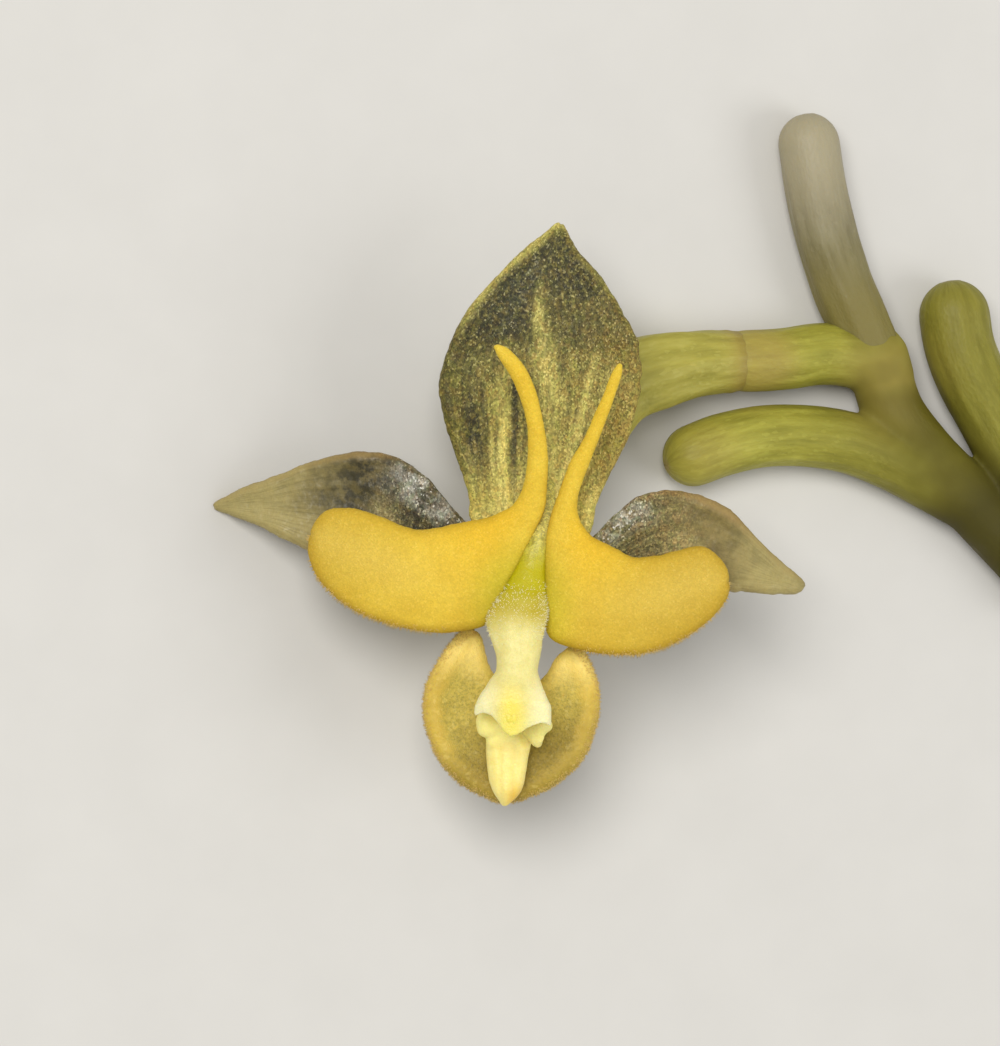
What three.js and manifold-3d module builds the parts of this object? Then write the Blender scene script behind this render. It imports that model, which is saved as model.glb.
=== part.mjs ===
// Lepanthes volador: one open flower, about 10 mm across, on a short length of its raceme, lying face up.
//
// Two frames are used, both in millimetres.
// Flower frame: from the point where the sepals meet, x to the right, y up to the dorsal sepal, z forward.
// Ground frame: from the point of the ground straight under that point, x to the right, y away, z up.

import * as THREE from 'three';
import { mergeVertices } from 'three/addons/utils/BufferGeometryUtils.js';
import Module from 'manifold-3d';

const wasm = await Module();
wasm.setup();

// Where the flower lies: it leans over to the left until the left lateral sepal's tip touches the ground
const LEAN = THREE.MathUtils.degToRad(18);
const FLOWER_HEIGHT = 2.48;
const FOOTPRINT_MIDDLE = [3.14, 2.35];

// Sizes shared by several pieces
const BLADE_HALF = 0.3; // half the thickness of a sepal, petal or lip blade
const SEAT_GAP = 0.05; // between a piece and the piece that it sits on
const STEM_SINK = 0.05; // how far a stem's round underside is flattened where it lies
const FLATTEST = 0.42; // the most of a blade's width that its rounded rims may take on each side

// Each blade runs from its base, or from its first lobe, to its tip between two edges of matching points
const DORSAL_SEPAL = {
  edges: [
    [[-0.29, 0.29], [-0.65, 0.75], [-0.94, 1.21], [-0.97, 1.64], [-1.11, 2.09], [-1.32, 2.7], [-1.44, 3.45],
      [-1.32, 3.97], [-1.06, 4.58], [-0.62, 5.15], [-0.1, 5.68], [0.31, 6.02], [0.56, 6.24]],
    [[0.27, 0.29], [0.7, 0.6], [1.11, 0.96], [1.23, 1.5], [1.44, 1.95], [1.78, 2.68], [1.98, 3.59],
      [1.93, 4.14], [1.73, 4.62], [1.42, 5.16], [1.04, 5.62], [0.79, 5.97], [0.65, 6.24]],
  ],
  fall: 0.3,
  cup: 0.18,
  waves: 5,
  waveHeight: 0.07,
};
const LATERAL_SEPAL_LEFT = {
  edges: [
    [[-0.34, 0.23], [-0.7, 0.7], [-1.0, 1.14], [-1.35, 1.54], [-1.78, 2.0], [-2.29, 2.29], [-2.91, 2.33],
      [-3.69, 2.16], [-4.34, 1.9], [-4.9, 1.7], [-5.32, 1.47]],
    [[-0.07, -0.4], [-0.56, -0.44], [-1.2, -0.31], [-1.8, -0.12], [-2.4, 0.1], [-2.91, 0.32], [-3.43, 0.55],
      [-3.91, 0.77], [-4.38, 1.01], [-4.86, 1.21], [-5.33, 1.38]],
  ],
  fall: 0.9,
  cup: 0.12,
  waves: 4,
  waveHeight: 0.05,
};
const LATERAL_SEPAL_RIGHT = {
  edges: [
    [[0.31, 0.23], [0.74, 0.54], [1.14, 0.89], [1.52, 1.28], [1.93, 1.59], [2.45, 1.71], [3.0, 1.59],
      [3.57, 1.28], [4.03, 0.8], [4.42, 0.42], [4.68, 0.22], [4.78, 0.11]],
    [[0.11, -0.4], [0.68, -0.48], [1.28, -0.44], [1.8, -0.34], [2.31, -0.24], [2.83, -0.14], [3.26, -0.05],
      [3.69, -0.02], [4.1, -0.04], [4.43, -0.06], [4.66, -0.06], [4.78, 0.0]],
  ],
  fall: 0.9,
  cup: 0.12,
  waves: 4,
  waveHeight: 0.05,
};

// The petals run from the slim upper lobe's tip, round the inner corner, to the end of the broad lower lobe
const PETAL_LEFT = {
  edges: [
    [[-0.55, 4.13], [-0.44, 3.96], [-0.21, 3.64], [-0.04, 3.25], [0.08, 2.79], [0.1, 2.38], [0.07, 1.96],
      [-0.04, 1.64], [-0.21, 1.4], [-0.44, 1.3], [-0.77, 1.21], [-1.14, 1.14], [-1.5, 1.08], [-1.87, 1.04],
      [-2.26, 1.18], [-2.65, 1.33], [-3.03, 1.41], [-3.35, 1.37], [-3.53, 1.18], [-3.65, 0.99]],
    [[-0.48, 4.17], [-0.31, 4.07], [-0.02, 3.73], [0.18, 3.3], [0.29, 2.81], [0.35, 2.38], [0.35, 1.88],
      [0.29, 1.33], [0.08, 0.86], [-0.21, 0.26], [-0.5, -0.25], [-0.87, -0.61], [-1.34, -0.71], [-1.89, -0.68],
      [-2.4, -0.55], [-2.89, -0.35], [-3.3, -0.04], [-3.55, 0.3], [-3.66, 0.64], [-3.67, 0.9]],
  ],
};
const PETAL_RIGHT = {
  edges: [
    [[1.65, 3.83], [1.63, 3.68], [1.51, 3.34], [1.36, 2.96], [1.22, 2.61], [1.07, 2.23], [0.93, 1.89],
      [0.86, 1.59], [0.88, 1.32], [0.98, 1.08], [1.17, 0.91], [1.39, 0.79], [1.59, 0.69], [1.83, 0.57],
      [2.15, 0.58], [2.49, 0.65], [2.8, 0.74], [3.05, 0.74], [3.27, 0.57], [3.41, 0.33], [3.46, 0.18]],
    [[1.57, 3.85], [1.47, 3.68], [1.36, 3.34], [1.21, 2.95], [1.05, 2.57], [0.85, 2.22], [0.68, 1.84],
      [0.52, 1.45], [0.4, 1.09], [0.34, 0.65], [0.33, 0.1], [0.33, -0.42], [0.42, -0.81], [1.0, -1.02],
      [1.61, -1.1], [2.12, -1.05], [2.61, -0.86], [3.02, -0.59], [3.29, -0.31], [3.43, -0.06], [3.47, 0.09]],
  ],
};
const PETAL_DEPTH = 0.74; // how far forward of the sepals the petals start
const PETAL_RISE = { above: 1.0, slope: 0.26 }; // the upper lobes lean forward above this height
const PETAL_DROOP = { beyond: 0.8, curve: 0.05 }; // the lower lobes curve back beyond this distance

// The lip's blades run from the left horn's tip, round below the column, to the right horn's tip
const LIP_BLADES = {
  edges: [
    [[-0.91, -0.68], [-1.11, -0.78], [-1.34, -1.05], [-1.52, -1.33], [-1.67, -1.64], [-1.72, -1.96],
      [-1.67, -2.35], [-1.52, -2.76], [-1.25, -3.16], [-0.84, -3.45], [-0.32, -3.62], [0.19, -3.48],
      [0.65, -3.21], [1.01, -2.82], [1.19, -2.35], [1.25, -1.94], [1.21, -1.55], [1.1, -1.26], [0.99, -1.06],
      [0.85, -0.96]],
    [[-0.83, -0.7], [-0.75, -0.78], [-0.69, -0.99], [-0.64, -1.19], [-0.59, -1.33], [-0.53, -1.43],
      [-0.46, -1.52], [-0.39, -1.58], [-0.31, -1.62], [-0.22, -1.65], [-0.12, -1.65], [-0.02, -1.65],
      [0.07, -1.63], [0.15, -1.6], [0.22, -1.56], [0.29, -1.51], [0.37, -1.43], [0.44, -1.31], [0.55, -1.13],
      [0.76, -0.97]],
  ],
};
const LIP_BLADES_DEPTH = -0.03;
const LIP_BLADES_CUP = 0.12; // how far forward the outer rim stands

// The lip's body: the tongue runs down from its neck behind the column, and the flaps cross it from left to right
const LIP_TONGUE = {
  edges: [
    [[-0.35, -0.64], [-0.37, -1.1], [-0.39, -1.61], [-0.52, -2.0], [-0.62, -2.35], [-0.67, -2.65],
      [-0.66, -2.9], [-0.62, -3.2], [-0.56, -3.4], [-0.47, -3.55], [-0.39, -3.67]],
    [[0.07, -0.64], [0.08, -1.1], [0.11, -1.61], [0.14, -2.0], [0.13, -2.35], [0.1, -2.62], [0.05, -2.88],
      [0.01, -3.15], [-0.05, -3.38], [-0.19, -3.57], [-0.31, -3.67]],
  ],
};
const LIP_FLAPS = {
  edges: [
    [[-0.84, -2.2], [-0.75, -2.0], [-0.52, -1.84], [-0.2, -1.76], [0.1, -1.8], [0.3, -1.96], [0.43, -2.18],
      [0.48, -2.31]],
    [[-0.83, -2.31], [-0.76, -2.47], [-0.6, -2.53], [-0.32, -2.58], [-0.05, -2.6], [0.12, -2.62], [0.29, -2.65],
      [0.45, -2.4]],
  ],
};
const LIP_NECK_DEPTH = 0.35; // of the neck, close over the sepals
const LIP_TONGUE_DEPTH = 0.63; // of the flaps and the tongue, in front of the lip's blades

// The column's oval sections: centre in the flower frame, half width and half depth
const COLUMN_SECTIONS = [
  { at: [0.03, -0.04, -0.3], halfWidth: 0.35, halfDepth: 0.35 },
  { at: [0.03, -0.06, 0.3], halfWidth: 0.35, halfDepth: 0.35 },
  { at: [-0.03, -0.18, 0.8], halfWidth: 0.42, halfDepth: 0.38 },
  { at: [-0.14, -0.5, 1.12], halfWidth: 0.5, halfDepth: 0.36 },
  { at: [-0.14, -0.75, 1.2], halfWidth: 0.44, halfDepth: 0.33 },
  { at: [-0.12, -1.1, 1.27], halfWidth: 0.385, halfDepth: 0.31 },
  { at: [-0.14, -1.32, 1.33], halfWidth: 0.36, halfDepth: 0.31 },
  { at: [-0.18, -1.58, 1.4], halfWidth: 0.46, halfDepth: 0.33 },
  { at: [-0.21, -1.8, 1.48], halfWidth: 0.58, halfDepth: 0.36 },
  { at: [-0.21, -1.96, 1.53], halfWidth: 0.65, halfDepth: 0.36 },
];
// The hood's lower edge, from the left shoulder over the point in the middle to the right shoulder
const HOOD_EDGE = [[-0.88, -2.12], [-0.76, -2.06], [-0.6, -2.07], [-0.5, -2.17], [-0.38, -2.35], [-0.26, -2.46],
  [-0.14, -2.43], [0.01, -2.33], [0.19, -2.25], [0.34, -2.22], [0.46, -2.3]];
const HOOD_HALF_DEPTH = 0.3;
// The green throat between the petals, which narrows upward from the column's foot
const THROAT = [[0.19, 0.92, 0.56], [0.12, 0.5, 0.64], [0.03, -0.05, 0.8]];
const THROAT_RADII = [0.08, 0.19, 0.33];
const ANTHER_CAP = { at: [-0.235, -2.14, 1.78], half: [0.16, 0.19, 0.17] };

// Stems lie on the ground: middle line points in the ground frame's x and y, and the radius at each point
const STEM_RADIUS = 0.55;
const OVARY_UPPER = [[0.05, -0.05, -0.15], [0.1, 0.12, -0.6], [0.3, 0.7, -1.0], [0.6, 1.5, -1.35],
  [0.9, 2.32, -1.75], [1.22, 3.02, -2.15], [1.67, 3.55, -2.5], [2.32, 3.8, -2.72]]; // in the flower frame
const OVARY_LOWER = [[3.69, 3.92], [4.6, 3.99]]; // on the ground
const OVARY_RADII = [0.42, 0.45, 0.52, 0.58, 0.64, 0.68, 0.7, 0.68, 0.6, 0.54];
const FLOWER_PEDICEL = [[4.65, 3.99], [5.46, 4.03], [6.16, 4.12], [6.87, 4.04], [7.28, 3.82]];
const RACHIS = [[7.28, 3.82], [7.5, 3.14], [8.05, 2.44], [8.8, 1.7], [9.53, 0.98], [10.11, 0.4],
  [10.69, -0.23]];
const LOWER_PEDICEL = [[3.76, 2.33], [4.3, 2.52], [4.99, 2.66], [5.74, 2.68], [6.65, 2.57], [7.44, 2.29],
  [8.29, 1.87], [8.92, 1.55]];
const RIGHT_PEDICEL = [[8.64, 4.83], [8.75, 4.25], [9.03, 3.6], [9.4, 2.98], [9.76, 2.3], [10.0, 1.5],
  [10.0, 0.7]];
const RIGHT_PEDICEL_RADIUS = 0.63;
const SPENT_PEDICEL = [[5.92, 7.83], [6.03, 7.16], [6.23, 6.28], [6.53, 5.4], [6.87, 4.66]];

// Materials, one for each kind of tissue
const sepalTissue = new THREE.MeshStandardMaterial({ color: 0x7d7446, roughness: 0.6, metalness: 0 });
const petalTissue = new THREE.MeshStandardMaterial({ color: 0xe3a92c, roughness: 0.8, metalness: 0 });
const lipTissue = new THREE.MeshStandardMaterial({ color: 0xb89a3a, roughness: 0.7, metalness: 0 });
const creamTissue = new THREE.MeshStandardMaterial({ color: 0xf0e08c, roughness: 0.55, metalness: 0 });
const antherTissue = new THREE.MeshStandardMaterial({ color: 0xf2d02e, roughness: 0.5, metalness: 0 });
const greenTissue = new THREE.MeshStandardMaterial({ color: 0x8f9144, roughness: 0.6, metalness: 0 });
const dryTissue = new THREE.MeshStandardMaterial({ color: 0xa59c82, roughness: 0.8, metalness: 0 });

// A closed geometry through rings of points, each end closed by a fan round the ring's middle
function loft(rings) {
  const sides = rings[0].length;
  const points = rings.flat();
  const triangles = [];
  for (let r = 0; r + 1 < rings.length; r++) {
    for (let k = 0; k < sides; k++) {
      const next = (k + 1) % sides;
      const here = r * sides;
      const beyond = here + sides;
      triangles.push(here + k, here + next, beyond + next, here + k, beyond + next, beyond + k);
    }
  }
  closeEnd(points, triangles, rings[0], 0, false);
  closeEnd(points, triangles, rings.at(-1), (rings.length - 1) * sides, true);
  const geometry = new THREE.BufferGeometry();
  const coordinates = points.flatMap(({ x, y, z }) => [x, y, z]);
  geometry.setAttribute('position', new THREE.Float32BufferAttribute(coordinates, 3));
  geometry.setIndex(enclosedVolume(points, triangles) > 0 ? triangles : triangles.reverse());
  return geometry;
}

function closeEnd(points, triangles, ring, firstIndex, facesOn) {
  const middle = ring.reduce((sum, p) => sum.add(p), new THREE.Vector3()).divideScalar(ring.length);
  const middleIndex = points.push(middle) - 1;
  for (let k = 0; k < ring.length; k++) {
    const a = firstIndex + k;
    const b = firstIndex + ((k + 1) % ring.length);
    triangles.push(...(facesOn ? [a, b, middleIndex] : [b, a, middleIndex]));
  }
}

// Positive when the triangles face outward
function enclosedVolume(points, triangles) {
  let volume = 0;
  for (let t = 0; t < triangles.length; t += 3) {
    const [a, b, c] = triangles.slice(t, t + 3).map((index) => points[index]);
    volume += a.dot(new THREE.Vector3().crossVectors(b, c)) / 6;
  }
  return volume;
}

// From three.js geometry to a solid that can be cut and joined, and back
function solid(geometry) {
  const bare = geometry.clone();
  bare.deleteAttribute('normal');
  bare.deleteAttribute('uv');
  const merged = mergeVertices(bare);
  return new wasm.Manifold(new wasm.Mesh({
    numProp: 3,
    vertProperties: new Float32Array(merged.attributes.position.array),
    triVerts: new Uint32Array(merged.index.array),
  }));
}

function geometryOf(body) {
  const { vertProperties, triVerts } = body.getMesh();
  const geometry = new THREE.BufferGeometry();
  geometry.setAttribute('position', new THREE.Float32BufferAttribute(vertProperties, 3));
  geometry.setIndex(Array.from(triVerts));
  geometry.computeVertexNormals();
  return geometry;
}

function boxSolid(size, centre) {
  return solid(new THREE.BoxGeometry(...size).translate(...centre));
}

// A blade's middle surface: s runs from 0 at its first end to 1 at its last, u from -1 to 1 between its edges
function bladeSurface(edges, depth) {
  const [first, second] = edges.map((edge) => flatCurve(edge));
  return (s, u) => {
    const point = first.getPoint(s).lerp(second.getPoint(s), (1 + u) / 2);
    point.z = depth(point, s, u);
    return point;
  };
}

function flatCurve(points) {
  const places = points.map(([x, y]) => new THREE.Vector3(x, y, 0));
  return new THREE.CatmullRomCurve3(places, false, 'centripetal');
}

// Across a blade: where each point of its section lies between the edges, and how far off the middle surface
function bladeSection(width) {
  const half = Math.min(BLADE_HALF, FLATTEST * width);
  const inset = (angle) => 1 - (2 * half * (1 - Math.cos(angle))) / width;
  const rim = [0, Math.PI / 4, Math.PI / 2].map((angle) => ({ u: inset(angle), lift: half * Math.sin(angle) }));
  const flat = [0.5, 0, -0.5].map((part) => ({ u: part * inset(Math.PI / 2), lift: half }));
  const top = [...rim, ...flat, ...rim.toReversed().map(({ u, lift }) => ({ u: -u, lift }))];
  const underside = top.slice(1, -1).toReversed().map(({ u, lift }) => ({ u, lift: -lift }));
  return [...top, ...underside];
}

function bladeGeometry(edges, depth, stations) {
  const surface = bladeSurface(edges, depth);
  const step = 0.002;
  const rings = [];
  for (let i = 0; i <= stations; i++) {
    const s = i / stations;
    const width = surface(s, -1).distanceTo(surface(s, 1));
    const ring = bladeSection(width).map(({ u, lift }) => {
      const along = surface(Math.min(s + step, 1), u).sub(surface(Math.max(s - step, 0), u));
      const across = surface(s, Math.min(u + step, 1)).sub(surface(s, Math.max(u - step, -1)));
      return surface(s, u).addScaledVector(along.cross(across).normalize(), lift);
    });
    rings.push(ring);
  }
  return loft(rings);
}

// Sepals: the tip falls back, the margins stand a little forward and are gently waved
function sepalGeometry({ edges, fall, cup, waves, waveHeight }) {
  const stations = 20;
  const depth = (point, s, u) => {
    const swell = Math.sin(Math.PI * s);
    const wave = waveHeight * Math.sin(2 * Math.PI * waves * s + u) * Math.abs(u) ** 3;
    return -fall * s * s + (cup * u * u + wave) * swell;
  };
  return bladeGeometry(edges, depth, stations);
}

// Petals: the upper lobe leans forward, the lower lobe curves back over the lateral sepal
function petalGeometry({ edges }) {
  const stations = 34;
  const depth = (point) => {
    const rise = PETAL_RISE.slope * Math.max(0, point.y - PETAL_RISE.above);
    const droop = PETAL_DROOP.curve * Math.max(0, Math.abs(point.x) - PETAL_DROOP.beyond) ** 2;
    return PETAL_DEPTH + rise - droop;
  };
  return bladeGeometry(edges, depth, stations);
}

function lipBladesGeometry() {
  const stations = 32;
  const depth = (point, s, u) => LIP_BLADES_DEPTH + LIP_BLADES_CUP * ((1 - u) / 2) ** 2;
  return bladeGeometry(LIP_BLADES.edges, depth, stations);
}

function lipBodySolid() {
  const tongueStations = 22;
  const flapStations = 14;
  const neckEnd = -1.1;
  const flapsStart = -1.7;
  const depth = (point) => {
    const forward = THREE.MathUtils.smoothstep(-point.y, -neckEnd, -flapsStart);
    return THREE.MathUtils.lerp(LIP_NECK_DEPTH, LIP_TONGUE_DEPTH, forward);
  };
  const tongue = solid(bladeGeometry(LIP_TONGUE.edges, depth, tongueStations));
  return tongue.add(solid(bladeGeometry(LIP_FLAPS.edges, depth, flapStations)));
}

// The column with the throat at its foot, or with a margin the space to keep clear of them
function columnSolid(margin) {
  const throat = stemGeometry(
    THROAT.map((point) => new THREE.Vector3(...point)),
    THROAT_RADII.map((radius) => radius + margin),
    { steps: 6, roundStart: true },
  );
  return solid(columnGeometry(margin)).add(solid(throat));
}

function columnGeometry(margin) {
  const stations = 20;
  const sides = 18;
  const path = new THREE.CatmullRomCurve3(COLUMN_SECTIONS.map(({ at }) => new THREE.Vector3(...at)));
  const halves = new THREE.CatmullRomCurve3(
    COLUMN_SECTIONS.map(({ halfWidth, halfDepth }) => new THREE.Vector3(halfWidth, halfDepth, 0)),
  );
  const rings = [];
  for (let i = 0; i <= stations; i++) {
    const s = i / stations;
    const sideways = new THREE.Vector3(1, 0, 0);
    const outward = new THREE.Vector3().crossVectors(sideways, path.getTangent(s)).normalize();
    const half = halves.getPoint(s);
    rings.push(ovalRing(path.getPoint(s), sideways, half.x + margin, outward, half.y + margin, sides));
  }
  rings.push(hoodRing(rings.at(-1), margin));
  return loft(rings);
}

function ovalRing(centre, firstAxis, firstHalf, secondAxis, secondHalf, sides) {
  return Array.from({ length: sides }, (_, k) => {
    const turn = (2 * Math.PI * k) / sides;
    return centre.clone()
      .addScaledVector(firstAxis, firstHalf * Math.cos(turn))
      .addScaledVector(secondAxis, secondHalf * Math.sin(turn));
  });
}

// The last section carried down to the hood's edge
function hoodRing(lastRing, margin) {
  const middleDepth = COLUMN_SECTIONS.at(-1).at[2];
  const flatter = HOOD_HALF_DEPTH / COLUMN_SECTIONS.at(-1).halfDepth;
  return lastRing.map((point) => new THREE.Vector3(
    point.x,
    hoodEdgeHeight(point.x) - margin,
    middleDepth + (point.z - middleDepth) * flatter,
  ));
}

function hoodEdgeHeight(x) {
  const next = HOOD_EDGE.findIndex(([edgeX]) => edgeX > x);
  if (next === 0) return HOOD_EDGE[0][1];
  if (next < 0) return HOOD_EDGE.at(-1)[1];
  const [[x0, y0], [x1, y1]] = [HOOD_EDGE[next - 1], HOOD_EDGE[next]];
  return THREE.MathUtils.mapLinear(x, x0, x1, y0, y1);
}

function antherCapGeometry(margin) {
  const half = ANTHER_CAP.half.map((size) => size + margin);
  return new THREE.SphereGeometry(1, 14, 10).scale(...half).translate(...ANTHER_CAP.at);
}

// A round stem through points, with a radius at each of them, and a rounded end where it is asked for
function stemGeometry(points, radii, { steps = 16, roundStart = false, roundEnd = false } = {}) {
  const sides = 14;
  const path = new THREE.CatmullRomCurve3(points);
  const widths = new THREE.CatmullRomCurve3(radii.map((radius) => new THREE.Vector3(radius, 0, 0)));
  const sections = [];
  for (let i = 0; i <= steps; i++) {
    sections.push({ centre: path.getPoint(i / steps), radius: widths.getPoint(i / steps).x });
  }
  const startTangent = path.getTangent(0);
  const endTangent = path.getTangent(1);
  if (roundStart) sections.unshift(...domeSections(sections[0], startTangent.clone().negate()).toReversed());
  if (roundEnd) sections.push(...domeSections(sections.at(-1), endTangent));
  const up = new THREE.Vector3(0, 0, 1);
  return loft(sections.map(({ centre, radius }, index) => {
    const before = sections[Math.max(index - 1, 0)].centre;
    const after = sections[Math.min(index + 1, sections.length - 1)].centre;
    const tangent = after.clone().sub(before).normalize();
    const sideways = new THREE.Vector3().crossVectors(up, tangent).normalize();
    const above = new THREE.Vector3().crossVectors(tangent, sideways);
    return ovalRing(centre, sideways, radius, above, radius, sides);
  }));
}

function domeSections({ centre, radius }, direction) {
  return [30, 55, 78].map((degrees) => {
    const angle = THREE.MathUtils.degToRad(degrees);
    return {
      centre: centre.clone().addScaledVector(direction, radius * Math.sin(angle)),
      radius: radius * Math.cos(angle),
    };
  });
}

function lyingPoints(points, radius = STEM_RADIUS) {
  return points.map(([x, y]) => new THREE.Vector3(x, y, radius - STEM_SINK));
}

function lyingStem(points, ends, radius = STEM_RADIUS) {
  return solid(stemGeometry(lyingPoints(points, radius), points.map(() => radius), ends));
}

// The flower's place on the ground, and its inverse for what is cut in the flower's own frame
const flowerPlace = new THREE.Matrix4()
  .makeRotationY(-LEAN)
  .setPosition(0, 0, FLOWER_HEIGHT);

function flowerToGround([x, y, z]) {
  return new THREE.Vector3(x, y, z).applyMatrix4(flowerPlace);
}

const belowGround = boxSolid([60, 60, 4], [0, 0, -2]);

// The ground as it lies under the flower, in the flower's own frame
function belowFlowerGround() {
  const ground = new THREE.BoxGeometry(60, 60, 4).translate(0, 0, -2);
  return solid(ground.applyMatrix4(flowerPlace.clone().invert()));
}

// The ovary: its top is cut off flat behind the sepals, and the rest curves down to the ground
function ovarySolid() {
  const lowerRadii = OVARY_RADII.slice(-OVARY_LOWER.length);
  const lower = OVARY_LOWER.map(([x, y], index) => new THREE.Vector3(x, y, lowerRadii[index] - STEM_SINK));
  const stem = solid(stemGeometry([...OVARY_UPPER.map(flowerToGround), ...lower], OVARY_RADII, { steps: 24 }));
  const sepalBacks = new THREE.BoxGeometry(8, 8, 4).translate(0, 0, 2 - BLADE_HALF - SEAT_GAP);
  return stem.subtract(solid(sepalBacks.applyMatrix4(flowerPlace))).subtract(belowGround);
}

function racemeSolid() {
  return lyingStem(RACHIS, {})
    .add(lyingStem(FLOWER_PEDICEL, {}))
    .add(lyingStem(LOWER_PEDICEL, { roundStart: true }))
    .add(lyingStem(RIGHT_PEDICEL, { roundStart: true }, RIGHT_PEDICEL_RADIUS))
    .subtract(belowGround);
}

// The dry pedicel stands in the fork between the flower's pedicel and the rachis
function spentPedicelSolid() {
  const wide = STEM_RADIUS + SEAT_GAP;
  const fork = lyingStem(FLOWER_PEDICEL, {}, wide).add(lyingStem(RACHIS, {}, wide));
  const pedicel = lyingStem([...SPENT_PEDICEL, RACHIS[0]], { roundStart: true });
  return pedicel.subtract(fork).subtract(belowGround);
}

function piece(name, body, material) {
  const mesh = new THREE.Mesh(geometryOf(body), material);
  mesh.name = name;
  return mesh;
}

// The flower's own pieces are each cut clear of the column that passes between them
function flowerPieces() {
  const columnClearance = columnSolid(SEAT_GAP);
  const clearOfColumn = (geometry) => solid(geometry).subtract(columnClearance);
  const ground = belowFlowerGround();
  const column = columnSolid(0).subtract(solid(antherCapGeometry(SEAT_GAP)));
  return [
    piece('dorsal_sepal', clearOfColumn(sepalGeometry(DORSAL_SEPAL)), sepalTissue),
    piece('lateral_sepal_left', clearOfColumn(sepalGeometry(LATERAL_SEPAL_LEFT)).subtract(ground), sepalTissue),
    piece('lateral_sepal_right', clearOfColumn(sepalGeometry(LATERAL_SEPAL_RIGHT)), sepalTissue),
    piece('petal_left', clearOfColumn(petalGeometry(PETAL_LEFT)), petalTissue),
    piece('petal_right', clearOfColumn(petalGeometry(PETAL_RIGHT)), petalTissue),
    piece('lip_blades', solid(lipBladesGeometry()), lipTissue),
    piece('lip_body', lipBodySolid().subtract(columnClearance), creamTissue),
    piece('column', column, creamTissue),
    piece('anther_cap', solid(antherCapGeometry(0)), antherTissue),
  ];
}

const flower = new THREE.Group();
flower.applyMatrix4(flowerPlace);
flower.add(...flowerPieces());

const spray = new THREE.Group();
spray.position.set(-FOOTPRINT_MIDDLE[0], -FOOTPRINT_MIDDLE[1], 0);
spray.add(
  flower,
  piece('ovary', ovarySolid(), greenTissue),
  piece('raceme', racemeSolid(), greenTissue),
  piece('spent_pedicel', spentPedicelSolid(), dryTissue),
);

export default spray;
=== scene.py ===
# Lepanthes volador: one open flower, about 10 mm across, on a short length of its raceme, lying face up.
# Sizes are in millimetres, in two frames, as in the part's source. A finished mesh is brought to metres.
# Flower frame: from the point where the sepals meet, x to the right, y up to the dorsal sepal, z forward.
# Ground frame: from the point of the ground straight under that point, x to the right, y away, z up.

import math

import bmesh
import bpy
import numpy as np
from mathutils import Matrix, Vector
from mathutils.kdtree import KDTree


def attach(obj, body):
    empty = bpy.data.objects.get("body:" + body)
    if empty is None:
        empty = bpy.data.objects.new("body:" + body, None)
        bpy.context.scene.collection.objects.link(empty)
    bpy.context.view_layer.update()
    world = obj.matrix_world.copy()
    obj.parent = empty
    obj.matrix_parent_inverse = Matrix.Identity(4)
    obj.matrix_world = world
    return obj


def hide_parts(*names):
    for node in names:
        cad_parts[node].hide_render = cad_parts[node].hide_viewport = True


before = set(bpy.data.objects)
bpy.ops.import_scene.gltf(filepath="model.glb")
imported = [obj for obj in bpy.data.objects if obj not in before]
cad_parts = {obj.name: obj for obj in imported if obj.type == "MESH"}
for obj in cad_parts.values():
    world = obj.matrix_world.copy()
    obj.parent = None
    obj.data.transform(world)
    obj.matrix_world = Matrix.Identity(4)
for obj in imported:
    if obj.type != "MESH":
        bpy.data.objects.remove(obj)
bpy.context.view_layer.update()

# Raceme
# The stem that bears the flowers: a juicy green rachis, cut off at its far end, with three stalks grown
# together with it. Two stalks have lost their flowers and end in a round scar. It all lies on the ground,
# flat underneath.

MM = 0.001
FOOTPRINT_MIDDLE = (3.14, 2.35)  # where the model's origin lies in the ground frame
STEM_RADIUS = 0.55
RIGHT_PEDICEL_RADIUS = 0.63
STEM_SINK = 0.05  # how far a stem's round underside is flattened where it lies
FLOWER_PEDICEL = [(4.72, 3.99), (5.46, 4.03), (6.16, 4.12), (6.87, 4.04), (7.28, 3.82)]
RACHIS = [(7.24, 3.92), (7.5, 3.14), (8.05, 2.44), (8.8, 1.7), (9.53, 0.98), (10.11, 0.4), (10.69, -0.23)]
LOWER_PEDICEL = [(3.76, 2.33), (4.3, 2.52), (4.99, 2.66), (5.74, 2.68), (6.65, 2.57), (7.44, 2.29),
                 (8.29, 1.87), (8.92, 1.55)]
RIGHT_PEDICEL = [(8.64, 4.83), (8.75, 4.25), (9.03, 3.6), (9.4, 2.98), (9.76, 2.3), (10.0, 1.5), (10.0, 0.7)]
COLLAR = [(7.36, 3.6), (7.16, 4.08), (7.0, 4.4)]  # round the dry pedicel's foot
COLLAR_RADII = [0.55, 0.6, 0.5]
FORK = (7.4, 3.6)  # where the flower's own stalk and the dry pedicel leave the rachis
TOO_NEAR = 0.01  # two given points nearer than this count as one
DOME_ANGLES = np.radians([15, 30, 45, 58, 70, 80, 87])  # of the rings in a stem's domed end
STEM_SAMPLES = 160
LINE_SAMPLES = 120  # along a line that distances are measured from
GRAIN_START = 1  # where the lengthwise grain of the first stem starts
GRAIN_APART = 20  # how much further on the grain of each next stem starts
SCAR_DEPTH = 0.006
STEM_FURROWS = 13
STEM_FURROW_DEPTH = 0.008
PLAIN_ROUGHNESS = 0.7157  # of a skin where it has no lengthwise grain


def unit(way):
    """A way in space, made 1 long."""
    return way / np.linalg.norm(way)


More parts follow.
